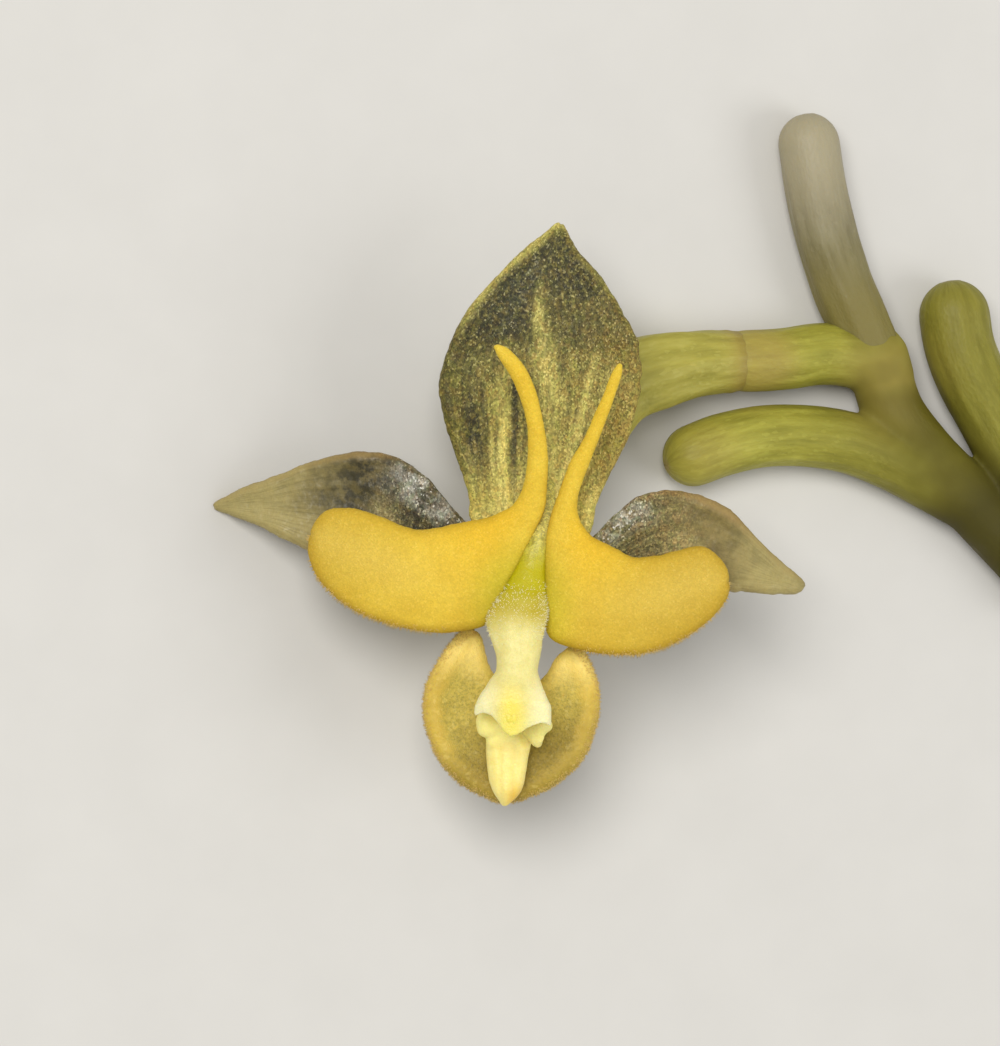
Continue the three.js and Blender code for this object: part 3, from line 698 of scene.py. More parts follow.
def streaks_at(lines, u, s):
    """The strength of lengthwise streaks at places on a sepal."""
    return sum(
        strength * hump(u - slope * np.maximum(s - 0.3, 0), place, width)
        * fade(s, start - 0.08, start + 0.08) * fade(s, end, end - 0.16)
        for place, slope, width, strength, start, end in lines)


def dorsal_tones(x, y, s, u, inset, side):
    across = u + 0.05 * drift(x, y, 0.7, 21)
    fine = 0.5 + 0.5 * drift(x * 5, y, 0.28, 22)
    foot = fade(s, 0.42, 0.12)
    middle = hump(u, 0.25, 0.4) * fade(s, 0.6, 0.4)
    tip_rim = hump(inset, 0, 0.06) * fade(s, 0.58, 0.75) * np.where(u < 0, 0.6, 0.2)
    pale = streaks_at(PALE_STREAKS, across, s) * (0.45 + 0.55 * fine) + foot + 0.12 * middle + tip_rim
    pale = np.clip(pale + 0.5 * fade(s, 0.95, 1.0), 0, 1)
    upper_left = hump(across, -0.52, 0.3) * fade(s, 0.6, 0.7) * fade(s, 0.93, 0.82)
    upper_right = hump(across, 0.6, 0.4) * fade(s, 0.7, 0.8) * fade(s, 0.98, 0.88)
    outer_left = 0.42 * fade(u, -0.4, -0.8) * fade(s, 0.2, 0.3) * (1 - 0.6 * fade(s, 0.45, 0.6))
    dark = streaks_at(DARK_STREAKS, across, s) + 1.3 * upper_left + 0.9 * upper_right + outer_left
    return {
        "pale": pale,
        "dark": np.clip(dark + 0.74 * fade(s, 0.42, 0.68), 0, 1) * (1 - 0.75 * pale),
        "warm": fade(u, 0.25, 0.9) * fade(s, 0.2, 0.4) * (1 - 0.8 * fade(s, 0.6, 0.8)),
        # Painted silver sheen: a bluish reflection in the upper left.
        "silver_sheen": 0.5 * upper_left * (0.5 + 0.5 * drift(x, y, 0.2, 23)),
        "glint": 0.4 + 0.3 * fade(s, 0.4, 0.6),
        "grainy": 1 - 0.35 * pale,
        "grain_round": u * SEPAL_BREADTH,
        "grain_along": s * SEPAL_LENGTH,
    }


def sepal_finish(name, blotch, low, middle, high, pale, dark, warm, silver_sheen):
    """Sepal tissue: olive mottles with lengthwise streaks, and small bulging cells, with their glitter
    painted in as pale glints.
    """
    finish = Finish(name, specular=0.3, soft_light=0.08, soft_reach=0.12)
    number, distance = finish.cells(0.026, finish.place((1, 1.3, 1)))
    larger, _ = finish.cells(0.07, finish.place((1, 1.4, 1)))
    grainy = finish.tone("grainy")
    partly = finish.calc("MULTIPLY", grainy, 0.6)
    patches = finish.mottle(0.3, 4.0)
    blotches = finish.ramp(finish.mottle(blotch, 6.0), (0.42, 0.6), (0.56, 1.0))
    streaks = finish.mottle(0.1, 4.0, finish.grain(6.0))
    base = finish.over(finish.calc("ADD", partly, 0.1), patches, streaks)
    colour = finish.ramp(base, (0.38, low), (0.5, middle), (0.62, high))
    # The silver sheen is painted reflection: a pale grey laid in patches where its tone says.
    silvery = finish.ramp(patches, (0.44, 0.1), (0.62, 0.74))
    veined = finish.ramp(streaks, (0.38, 0.6), (0.56, 1.0))
    colour = finish.tinted(colour, ("warm", 0.75, warm), ("dark", blotches, dark),
                           ("pale", veined, pale), ("silver_sheen", silvery, silver_sheen))
    colour = finish.shaded(colour, partly, larger, (0.0, (222, 238, 206)), (0.5, (255, 255, 255)),
                           (1.0, (255, 228, 204)))
    colour = finish.shaded(colour, finish.calc("MULTIPLY", grainy, 0.9), number, (0.0, 0.45), (0.5, 0.95),
                           (0.85, 1.3), (1.0, 1.7))
    # A few cells get pale painted glints, which stand in for the glitter of the cells; they are silvery
    # where the silver sheen is.
    painted_glints = finish.some(number, 0.88, 0.96, finish.tone("glint"))
    painted_glints = finish.calc("MULTIPLY", painted_glints, finish.ramp(streaks, (0.42, 0.1), (0.6, 0.5)))
    painted_glint_colour = finish.over(finish.tone("silver_sheen"), (218, 206, 140), (216, 214, 204))
    finish.feed("Base Color", finish.over(painted_glints, colour, painted_glint_colour))
    finish.feed("Roughness", finish.ramp(number, (0.2, 0.62), (1.0, 0.36)))
    domes = finish.relief(finish.calc("MULTIPLY", distance, grainy), 0.008)
    finish.feed("Normal", finish.relief(base, 0.016, 0.6, domes))
    return finish


dorsal = sepal("upper_sepal", DORSAL_EDGES, DORSAL_FORM, stations=230, spans=110, tones=dorsal_tones,
               seed=31)
lean_over(dorsal)
dorsal_skin = sepal_finish(
    "upper_sepal_skin", blotch=0.08, low=(98, 90, 38), middle=(136, 126, 56), high=(166, 154, 72),
    pale=(222, 208, 112), dark=(54, 51, 25), warm=(160, 141, 65), silver_sheen=(96, 104, 88))
dorsal.data.materials.append(dorsal_skin.material)
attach(dorsal, "root")
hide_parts("dorsal_sepal")

# Lateral sepals
# The two lower sepals, spread to the sides behind the petals and falling back towards their drawn-out tips.
# They are dark and mottled in the middle, cream olive at the tip, and silvery where they leave the flower:
# there the sheen of their glittering cells is painted into the colour.

LATERAL_LEFT_EDGES = [
    [(-0.34, 0.23), (-0.7, 0.7), (-1.0, 1.14), (-1.35, 1.54), (-1.78, 2.0), (-2.29, 2.29), (-2.91, 2.33),
     (-3.69, 2.16), (-4.34, 1.9), (-4.9, 1.7), (-5.32, 1.47)],
    [(-0.07, -0.4), (-0.56, -0.44), (-1.2, -0.31), (-1.8, -0.12), (-2.4, 0.1), (-2.91, 0.32), (-3.43, 0.55),
     (-3.91, 0.77), (-4.38, 1.01), (-4.86, 1.21), (-5.33, 1.38)],
]
LATERAL_RIGHT_EDGES = [
    [(0.31, 0.23), (0.74, 0.54), (1.14, 0.89), (1.52, 1.28), (1.93, 1.59), (2.45, 1.71), (3.0, 1.59),
     (3.57, 1.28), (4.03, 0.8), (4.42, 0.42), (4.68, 0.22), (4.78, 0.11)],
    [(0.11, -0.4), (0.68, -0.48), (1.28, -0.44), (1.8, -0.34), (2.31, -0.24), (2.83, -0.14), (3.26, -0.05),
     (3.69, -0.02), (4.1, -0.04), (4.43, -0.06), (4.66, -0.06), (4.78, 0.0)],
]
LATERAL_FORM = {"fall": 0.9, "cup": 0.12, "waves": 4, "wave_height": 0.05, "rim": 0.03, "ragged": 0.0}


def lateral_tones(x, y, s, u, inset, side):
    uneven = s + 0.03 * drift(x, y, 0.4, 42)
    reach = np.where(x < 0, 0.47, 0.38)
    inner = fade(uneven, reach + 0.06, reach - 0.06)
    # Painted silver sheen near the flower, where the glittering cells reflect the light.
    silver_sheen = fade(s, 0.1, 0.2) * inner * fade(u, -0.25, -0.7)
    tip = fade(uneven, 0.56, 0.8)
    top_rim = hump(inset, 0, 0.07) * np.where(u < 0, 1.0, 0.25) * (1 - 0.6 * silver_sheen)
    light = fade(u, -0.1, 0.5) * fade(s, 0.5, 0.7)
    blot = 0.7 * hump(s, 0.46, 0.05) * hump(u, -0.05, 0.3)
    middle = fade(s, 0.25, 0.4) * fade(uneven, 0.76, 0.58) * (1 - 0.8 * light) * (1 - blot)
    gloom = np.where(x < 0, 1.15, 0.2) * (middle + 0.7 * inner * fade(u, -0.6, -0.2) + 0.7 * silver_sheen)
    return {
        "pale": np.clip(0.8 * tip + 0.4 * light + blot, 0, 1),
        "dark": np.clip(gloom, 0, 1) * (1 - 0.75 * top_rim),
        "warm": np.clip(top_rim + 0.3 * fade(s, 0.3, 0.5) * (1 - tip), 0, 1),
        "silver_sheen": silver_sheen,
        "glint": 2 * silver_sheen + 0.6 * inner,
        "grainy": 1.1 - 1.0 * fade(s, 0.38, 0.6),
        "grain_round": u * SEPAL_BREADTH,
        "grain_along": s * SEPAL_LENGTH,
    }


lateral_skin = sepal_finish(
    "lateral_sepal_skin", blotch=0.16, low=(92, 86, 46), middle=(122, 112, 64), high=(148, 135, 82),
    pale=(168, 154, 98), dark=(56, 52, 32), warm=(160, 132, 80), silver_sheen=(184, 184, 172))
for name, edges, node, seed in (
    ("left_lateral_sepal", LATERAL_LEFT_EDGES, "lateral_sepal_left", 43),
    ("right_lateral_sepal", LATERAL_RIGHT_EDGES, "lateral_sepal_right", 47),
):
    lateral = sepal(name, edges, LATERAL_FORM, stations=200, spans=90, tones=lateral_tones, seed=seed)
    if node == "lateral_sepal_left":  # its tip rests on the ground
        spots = points_of(lateral)
        height = spots[:, 0] * math.sin(LEAN) + spots[:, 2] * math.cos(LEAN) + FLOWER_HEIGHT
        spots[:, 2] += np.maximum(-height, 0) / math.cos(LEAN)
        set_points(lateral, spots)
    lean_over(lateral)
    lateral.data.materials.append(lateral_skin.material)
    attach(lateral, "root")
    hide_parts(node)

# Column
# The cream column in the middle of the flower: green and white-haired at its foot, where the throat narrows
# upward between the petals, with a waist, and a hood that ends in a small point over the lip.

COLUMN_SECTIONS = [  # centre in the flower frame, half width and half depth
    ((0.03, -0.04, -0.3), 0.35, 0.35), ((0.03, -0.06, 0.3), 0.35, 0.35), ((-0.03, -0.18, 0.8), 0.42, 0.38),
    ((-0.14, -0.5, 1.12), 0.51, 0.36), ((-0.14, -0.75, 1.2), 0.46, 0.33), ((-0.12, -1.1, 1.27), 0.385, 0.31),
    ((-0.14, -1.32, 1.33), 0.36, 0.31), ((-0.18, -1.58, 1.4), 0.46, 0.33), ((-0.21, -1.8, 1.48), 0.58, 0.36),
    ((-0.21, -1.96, 1.53), 0.65, 0.36),
]
HOOD_EDGE = [(-0.88, -2.12), (-0.76, -2.06), (-0.6, -2.07), (-0.5, -2.17), (-0.38, -2.35), (-0.26, -2.46),
             (-0.14, -2.43), (0.01, -2.33), (0.19, -2.25), (0.34, -2.22), (0.46, -2.3)]
HOOD_HALF_DEPTH = 0.3
THROAT = [(0.43, 1.82, 0.1), (0.35, 1.27, 0.46), (0.22, 0.8, 0.68), (0.09, 0.35, 0.69), (0.0, -0.05, 0.76)]
THROAT_RADII = [0.08, 0.16, 0.21, 0.3, 0.4]
CAP_AT = (-0.235, -2.12, 1.72)
HOOD_SHARES = (0.34, 0.67, 1.0)  # how far each ring of the hood is drawn out to its edge
# The rings under the hood: how much of its width they keep, and how far up they lie.
HOLLOW = [(0.8, 0.02), (0.66, 0.14), (0.4, 0.22)]
WHITE_HAIRS = {"per_mm2": 520, "length": 0.06, "radius": 0.0045, "lean": 0.5}


def column_rings(steps=90, sides=72):
    """The column's rings, down to the hood's edge and back up into the hollow under it."""
    places = np.linspace(0, 1, steps + 1)
    centres = rail([centre for centre, _, _ in COLUMN_SECTIONS], places)
    halves = rail([(wide, deep) for _, wide, deep in COLUMN_SECTIONS], places)
    ways = np.gradient(centres, axis=0)
    turns = np.linspace(0, 2 * math.pi, sides, endpoint=False)
    rings = []
    for centre, (wide, deep), way in zip(centres, halves, ways):
        outward = unit(np.cross((1, 0, 0), way))
        across = np.outer(wide * np.cos(turns), (1, 0, 0))
        rings.append(centre + across + np.outer(deep * np.sin(turns), outward))
    last, middle = rings[-1], centres[-1]
    edge_y = np.interp(last[:, 0], *zip(*HOOD_EDGE))
    flatter = HOOD_HALF_DEPTH / halves[-1][1] - 1
    for share in HOOD_SHARES:
        ring = last.copy()
        ring[:, 1] = last[:, 1] + (edge_y - last[:, 1]) * share
        ring[:, 2] = middle[2] + (last[:, 2] - middle[2]) * (1 + flatter * share)
        rings.append(ring)
    edge = rings[-1]
    for inward, lifted in HOLLOW:
        ring = edge.copy()
        ring[:, 0] = middle[0] + (edge[:, 0] - middle[0]) * inward
        ring[:, 1] = np.interp(ring[:, 0], *zip(*HOOD_EDGE)) + lifted
        ring[:, 2] = middle[2] + (edge[:, 2] - middle[2]) * inward
        rings.append(ring)
    return rings


def hair_tree(name, material):
    """Geometry nodes that set fine tapered hairs on a skin, where its hairy tone says."""
    tree = bpy.data.node_groups.new(name, "GeometryNodeTree")
    face = tree.interface
    face.new_socket("Skin", in_out="INPUT", socket_type="NodeSocketGeometry")
    for size in ("Hairs per square millimetre", "Hair length", "Hair radius", "Lean of the hairs"):
        face.new_socket(size, in_out="INPUT", socket_type="NodeSocketFloat")
    face.new_socket("Seed", in_out="INPUT", socket_type="NodeSocketInt")
    face.new_socket("Skin", in_out="OUTPUT", socket_type="NodeSocketGeometry")

    def node(kind, values=(), **settings):
        made = tree.nodes.new(kind)
        for name, setting in settings.items():
            setattr(made, name, setting)
        for name, value in dict(values).items():
            if isinstance(value, bpy.types.NodeSocket):
                tree.links.new(value, made.inputs[name])
            else:
                made.inputs[name].default_value = value
        return made

    given = node("NodeGroupInput").outputs
    seed, most = given["Seed"], given["Lean of the hairs"]
    hairy = node("GeometryNodeInputNamedAttribute", {"Name": "hairy"}, data_type="FLOAT")
    density = node("ShaderNodeMath", {
        0: hairy.outputs["Attribute"], 1: given["Hairs per square millimetre"],
    }, operation="MULTIPLY")
    roots = node("GeometryNodeDistributePointsOnFaces", {
        "Mesh": given["Skin"], "Density": density.outputs[0], "Seed": seed,
    })
    hair = node("GeometryNodeMeshCone", {
        "Vertices": 4, "Radius Top": 0.0,
        "Radius Bottom": given["Hair radius"], "Depth": given["Hair length"],
    }, fill_type="NONE")
    least = node("ShaderNodeMath", {0: most, 1: -1.0}, operation="MULTIPLY").outputs[0]
    lean = node("FunctionNodeRandomValue", {
        0: node("ShaderNodeCombineXYZ", {"X": least, "Y": least}).outputs[0],
        1: node("ShaderNodeCombineXYZ", {"X": most, "Y": most}).outputs[0],
        "Seed": seed,
    }, data_type="FLOAT_VECTOR")
    turn = node("FunctionNodeRotateRotation", {
        "Rotation": roots.outputs["Rotation"], "Rotate By": lean.outputs[0],
    }, rotation_space="LOCAL")
    size = node("FunctionNodeRandomValue", {2: 0.45, 3: 1.0, "Seed": seed}, data_type="FLOAT")
    tall = node("ShaderNodeCombineXYZ", {"X": 1.0, "Y": 1.0, "Z": size.outputs[1]})
    hairs = node("GeometryNodeInstanceOnPoints", {
        "Points": roots.outputs["Points"], "Instance": hair.outputs["Mesh"],
        "Rotation": turn.outputs[0], "Scale": tall.outputs[0],
    })
    real = node("GeometryNodeRealizeInstances", {"Geometry": hairs.outputs[0]})
    coated = node("GeometryNodeSetMaterial", {"Geometry": real.outputs[0], "Material": material})
    both = node("GeometryNodeJoinGeometry")
    tree.links.new(given["Skin"], both.inputs[0])
    tree.links.new(coated.outputs[0], both.inputs[0])
    node("NodeGroupOutput", {0: both.outputs[0]})
    return tree


def grow_hairs(piece, tree, per_mm2, length, radius, lean, seed):
    """Sets hairs on a piece whose mesh is still in millimetres."""
    hairs = piece.modifiers.new("hairs", "NODES")
    hairs.node_group = tree
    sizes = {"Hairs per square millimetre": per_mm2, "Hair length": length, "Hair radius": radius,
             "Lean of the hairs": lean, "Seed": seed}
    for socket in tree.interface.items_tree:
        if socket.in_out == "INPUT" and socket.name in sizes:
            hairs[socket.identifier] = sizes[socket.name]
    fix_modifiers(piece)


column = joined("cream_column", [
    loft(column_rings()),
    loft(stem_rings(THROAT, THROAT_RADII, steps=40, sides=48, round_start=True)),
])
grow_together(column, voxel=0.02, smoothing=3)
spots, outward = points_of(column), normals_of(column)
x, y, z = spots.T
folds = 0.01 * np.sin(x * 16) * fade(y, -1.6, -1.0) * fade(y, -0.2, -0.6)
set_points(column, spots + outward * (0.006 * drift(x, y, 0.12, 51) + folds)[:, None])
from_cap = np.hypot((x - CAP_AT[0]) / 0.16, (y - CAP_AT[1]) / 0.34)
set_tone(column, "green", fade(y, -0.8, -0.3) * (0.85 + 0.15 * drift(x, y, 0.2, 52)))
set_tone(column, "deep_green", fade(y, -0.35, 0.1))
set_tone(column, "throat_top", fade(y, 0.35, 1.1))
set_tone(column, "yellow", fade(from_cap, 2.2, 0.1) * fade(z, 1.5, 1.7))
set_tone(column, "pale", fade(np.abs(x + 0.21), 0.15, 0.5) * fade(y, -1.3, -1.7))
set_tone(column, "hairy", fade(y, -1.0, -0.6) * fade(y, 0.3, -0.2) * fade(z, 0.5, 0.9))

column_skin = Finish("column_skin", roughness=0.42, specular=0.45, soft_light=0.35, soft_reach=0.35)
soft = column_skin.mottle(0.16, 4.0)
number, distance = column_skin.cells(0.03)
colour = column_skin.ramp(soft, (0.3, (226, 214, 131)), (0.6, (233, 223, 146)))
throat_top = column_skin.ramp(soft, (0.38, (178, 169, 80)), (0.6, (212, 201, 110)))
colour = column_skin.tinted(
    colour, ("pale", 1.0, (246, 237, 178)), ("green", 1.0, (188, 169, 28)),
    ("deep_green", 1.0, (189, 178, 10)), ("throat_top", 1.0, throat_top), ("yellow", 1.0, (244, 224, 88)))
colour = column_skin.shaded(colour, 0.35, number, (0.0, 0.86), (1.0, 1.08))
colour = column_skin.shaded(colour, column_skin.tone("throat_top"), number,
                            (0.0, 0.65), (0.5, 0.97), (1.0, 1.35))
column_skin.feed("Base Color", colour)
column_skin.feed("Normal", column_skin.relief(soft, 0.02, 0.5, column_skin.relief(distance, 0.006)))
column.data.materials.append(column_skin.material)
white_hair = Finish("white_hair", roughness=0.5, specular=0.4, soft_light=0.2, soft_reach=0.05)
white = white_hair.ramp(white_hair.mottle(0.1), (0.3, (244, 236, 176)), (0.7, (252, 248, 214)))
white_hair.feed("Base Color", white)
grow_hairs(column, hair_tree("white_hairs", white_hair.material), **WHITE_HAIRS, seed=6)
lean_over(column)
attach(column, "root")
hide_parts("column")

# Anther cap
# The small, smooth yellow cap over the pollen, set in the end of the hood.
# A shallow groove parts its two halves.

CAP_HALF = (0.18, 0.24, 0.14)
GROOVE_DEPTH = 0.08  # as a part of the cap's half size
GROOVE_WIDTH = 0.22
cap_ball = bmesh.new()
bmesh.ops.create_uvsphere(cap_ball, u_segments=48, v_segments=32, radius=1.0)
cap_ball.verts.index_update()
ball = np.array([spot.co for spot in cap_ball.verts])
cap_faces = [[spot.index for spot in face.verts] for face in cap_ball.faces]
cap_ball.free()

# A ball's faces come in a chance order. Sorted by their points, they are the same in every run.
firsts = [face.index(min(face)) for face in cap_faces]
cap_faces = sorted(face[first:] + face[:first] for face, first in zip(cap_faces, firsts))
swell = 1 - GROOVE_DEPTH * hump(ball[:, 0], 0, GROOVE_WIDTH) + 0.02 * drift(ball[:, 0], ball[:, 1], 0.4, 61)
cap = closed_mesh("yellow_cap", ball * swell[:, None] * CAP_HALF + CAP_AT, cap_faces)
lean_over(cap)
cap_skin = Finish("cap_skin", roughness=0.38, specular=0.5, soft_light=0.3, soft_reach=0.2)
yellow = cap_skin.ramp(cap_skin.mottle(0.08), (0.3, (240, 218, 78)), (0.7, (246, 228, 100)))
cap_skin.feed("Base Color", yellow)
_, distance = cap_skin.cells(0.03)
cap_skin.feed("Normal", cap_skin.relief(distance, 0.006))
cap.data.materials.append(cap_skin.material)
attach(cap, "root")
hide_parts("anther_cap")

# Petals
# Two golden, velvety, fleshy petals. Each runs from a slim upper lobe, like a feeler, round its inner corner
# and out into a broad lower lobe, whose outer margin has a fringe of very short hairs.

PETAL_LEFT = [
    [(-0.55, 4.13), (-0.46, 3.95), (-0.25, 3.62), (-0.08, 3.23), (0.03, 2.77), (0.04, 2.38), (0.01, 1.96),
     (-0.09, 1.65), (-0.25, 1.42), (-0.46, 1.31), (-0.77, 1.21), (-1.14, 1.14), (-1.5, 1.08), (-1.87, 1.04),
     (-2.26, 1.18), (-2.65, 1.33), (-3.03, 1.41), (-3.35, 1.37), (-3.53, 1.18), (-3.65, 0.99)],
    [(-0.48, 4.17), (-0.29, 4.09), (0.01, 3.75), (0.2, 3.32), (0.32, 2.82), (0.38, 2.38), (0.38, 1.88),
     (0.31, 1.33), (0.09, 0.86), (-0.2, 0.24), (-0.44, -0.26), (-0.68, -0.59), (-1.24, -0.71),
     (-1.87, -0.68), (-2.4, -0.55), (-2.89, -0.35), (-3.3, -0.04), (-3.55, 0.3), (-3.66, 0.64),
     (-3.67, 0.9)],
]
PETAL_RIGHT = [
    [(1.65, 3.83), (1.64, 3.68), (1.53, 3.33), (1.39, 2.94), (1.26, 2.59), (1.11, 2.2), (0.98, 1.86),
     (0.9, 1.57), (0.9, 1.32), (0.99, 1.08), (1.17, 0.91), (1.39, 0.79), (1.59, 0.69), (1.83, 0.57),
     (2.15, 0.58), (2.49, 0.65), (2.8, 0.74), (3.05, 0.74), (3.27, 0.57), (3.41, 0.33), (3.46, 0.18)],
    [(1.57, 3.85), (1.46, 3.68), (1.33, 3.35), (1.16, 2.97), (1.0, 2.6), (0.8, 2.26), (0.64, 1.87),
     (0.5, 1.47), (0.39, 1.1), (0.34, 0.65), (0.33, 0.1), (0.33, -0.42), (0.42, -0.81), (1.0, -1.02),
     (1.61, -1.1), (2.12, -1.05), (2.61, -0.86), (3.02, -0.59), (3.29, -0.31), (3.43, -0.06), (3.47, 0.09)],
]
PETAL_DEPTH = 0.74
PETAL_HALF = 0.2
PETAL_BULGE = 0.08  # how far the middle of the broad lobe stands forward
PETAL_HAIRS = {"per_mm2": 700, "length": 0.09, "radius": 0.006, "lean": 0.5}


def petal_depth(x, y, s, u):
    rise = 0.13 * (y - 1.0 + np.sqrt((y - 1.0) ** 2 + 0.09))
    droop = 0.05 * np.maximum(0, np.abs(x) - 0.8) ** 2
    return PETAL_DEPTH + rise - droop + PETAL_BULGE * (1 - u**2) * fade(s, 0.4, 0.55)


def petal_crimp(s, side):
    return 0.012 * drift(s * 40, s * 0 + side * 5, 1.0, 71)


def petal_relief(x, y, s, u, inset, side):
    return 0.004 * drift(x, y, 0.05, 72) + 0.006 * drift(x, y, 0.3, 73)


def petal_tones(x, y, s, u, inset, side):
    lower = fade(s, 0.42, 0.52)
    hairy = fade(s, 0.62, 0.72) * fade(u, 0.8, 0.95) + 0.8 * fade(s, 0.97, 0.99) * fade(u, -0.2, 0.4)
    corner = hump(s, 0.5, 0.13) * fade(u, 0.5, -0.9)
    return {
        "orange": np.clip(corner + 0.35 * fade(s, 0.45, 0.1), 0, 1) * fade(s, 0.0, 0.1),
        # Partly paler tissue and partly a painted highlight on the bulge of the broad lobe.
        "pale": lower * hump(u, -0.15, 0.5) * fade(s, 0.55, 0.75),
        "green": fade(np.hypot(x + 0.05, 0.8 * (y + 0.3)), 1.15, 0.3),
        "rim": hump(inset, 0, 0.16) * lower * np.where(u > 0, 1.0, 0.6),
        "end": fade(s + np.where(x > 0, 0.15, 0.0), 0.6, 1.0),
        "hairy": hairy * (inset < 0.15),
    }


petal_skin = Finish("petal_skin", roughness=0.7, specular=0.16, soft_light=0.2, soft_reach=0.25)
number, distance = petal_skin.cells(0.024)
larger, _ = petal_skin.cells(0.06)
colour = petal_skin.ramp(
    petal_skin.mottle(0.5), (0.3, (216, 182, 56)), (0.5, (223, 190, 62)), (0.72, (229, 198, 70)))
colour = petal_skin.tinted(
    colour, ("end", 0.85, (190, 157, 52)), ("pale", 0.45, (226, 197, 92)), ("orange", 0.75, (230, 186, 42)),
    ("rim", 0.8, (190, 153, 38)), ("green", 0.85, (193, 180, 44)))
colour = petal_skin.shaded(colour, 0.5, number, (0.0, 0.82), (0.6, 1.0), (1.0, 1.12))
colour = petal_skin.shaded(colour, 0.4, larger, (0.0, 0.93), (1.0, 1.06))
# A few cells get pale specks, a painted sparkle of the velvet.
colour = petal_skin.over(petal_skin.some(number, 0.9, 0.98, 0.08), colour, (248, 230, 156))
petal_skin.feed("Base Color", colour)
petal_skin.feed("Normal", petal_skin.relief(distance, 0.006))
tan_hair = Finish("tan_hair", roughness=0.6, specular=0.3)
tan = tan_hair.ramp(tan_hair.mottle(0.1), (0.3, (204, 172, 92)), (0.7, (228, 200, 122)))
tan_hair.feed("Base Color", tan)
tan_hairs = hair_tree("tan_hairs", tan_hair.material)
for name, edges, node, seed in (
    ("left_petal", PETAL_LEFT, "petal_left", 81),
    ("right_petal", PETAL_RIGHT, "petal_right", 82),
):
    petal = blade(name, edges, petal_depth, PETAL_HALF, stations=300, spans=60, crimp=petal_crimp,
                  relief=petal_relief, tones=petal_tones)
    petal.data.materials.append(petal_skin.material)
    grow_hairs(petal, tan_hairs, **PETAL_HAIRS, seed=seed)
    lean_over(petal)
    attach(petal, "root")
    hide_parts(node)

# Lip blades
# The two blades of the lip, grown together below into one heart-shaped disc with a horn at each side of the
# column. The disc is thin, grey-speckled and dished, inside a thick golden rim with a fringe of fine hairs.

LIP_BLADES = [
    [(-0.91, -0.68), (-1.11, -0.78), (-1.34, -1.05), (-1.52, -1.33), (-1.67, -1.64), (-1.72, -1.96),
     (-1.67, -2.35), (-1.52, -2.76), (-1.25, -3.16), (-0.84, -3.45), (-0.32, -3.62), (0.19, -3.48),
     (0.65, -3.21), (1.01, -2.82), (1.19, -2.35), (1.25, -1.94), (1.21, -1.55), (1.1, -1.26), (0.99, -1.06),
     (0.85, -0.96)],
    [(-0.83, -0.7), (-0.75, -0.78), (-0.69, -0.99), (-0.64, -1.19), (-0.59, -1.33), (-0.53, -1.43),
     (-0.46, -1.52), (-0.39, -1.58), (-0.31, -1.62), (-0.22, -1.65), (-0.12, -1.65), (-0.02, -1.65),
     (0.07, -1.63), (0.15, -1.6), (0.22, -1.56), (0.29, -1.51), (0.37, -1.43), (0.44, -1.31), (0.55, -1.13),
     (0.76, -0.97)],
]
LIP_HALF = 0.17
LIP_RIM_WIDTH = 0.3
LIP_HAIRS = {"per_mm2": 900, "length": 0.06, "radius": 0.006, "lean": 0.5}


def lip_depth(x, y, s, u):
    return -0.03 + 0.12 * ((1 - u) / 2) ** 2


def lip_crimp(s, side):
    return 0.012 * drift(s * 70, s * 0 + side * 3, 1.0, 91)


def lip_relief(x, y, s, u, inset, side):
    thick_rim = 0.02 * fade(inset, 1.8 * LIP_RIM_WIDTH, 0.3 * LIP_RIM_WIDTH) * fade(u, 0.2, -0.4)
    return thick_rim + 0.003 * drift(x, y, 0.05, 92) + 0.003 * drift(x, y, 0.25, 93)


def lip_tones(x, y, s, u, inset, side):
    uneven = inset + 0.05 * drift(x, y, 0.15, 95)
    outer = fade(uneven, 1.3 * LIP_RIM_WIDTH, 0.5 * LIP_RIM_WIDTH) * (1 - 0.5 * fade(y, -2.5, -3.3))
    return {
        "rim": np.where(u < 0, outer, 0.35 * outer),
        "horn": fade(y + 0.1 * x, -1.75, -1.1),
        "dark": fade(-y + 0.3 * x + 0.15 * drift(x, y, 0.5, 94), 1.9, 3.0),
        "hairy": fade(u, 0.0, -0.2) * fade(inset, 0.09, 0.04),
    }


lip_skin = Finish("lip_skin", specular=0.35, soft_light=0.2, soft_reach=0.2)
patches = lip_skin.mottle(0.22, 4.0)
number, distance = lip_skin.cells(0.026)
larger, _ = lip_skin.cells(0.06)
rim = lip_skin.ramp(patches, (0.3, (205, 174, 66)), (0.7, (214, 186, 80)))
specks = lip_skin.ramp(lip_skin.mottle(0.045, 5.0), (0.44, 0.0), (0.66, 0.8))
specks = lip_skin.calc("MULTIPLY", specks, lip_skin.calc("SUBTRACT", 1.0, lip_skin.tone("rim")))
colour = lip_skin.ramp(patches, (0.32, (188, 167, 70)), (0.5, (198, 177, 76)), (0.7, (208, 186, 84)))
colour = lip_skin.tinted(
    colour, ("dark", 0.8, (152, 131, 40)), ("rim", 1.0, rim), ("dark", 0.45, (148, 124, 42)))
colour = lip_skin.over(specks, colour, (200, 206, 200), "MULTIPLY")
colour = lip_skin.tinted(colour, ("horn", 0.95, (247, 221, 122)))
colour = lip_skin.shaded(colour, 0.5, larger, (0.0, 0.86), (1.0, 1.1))
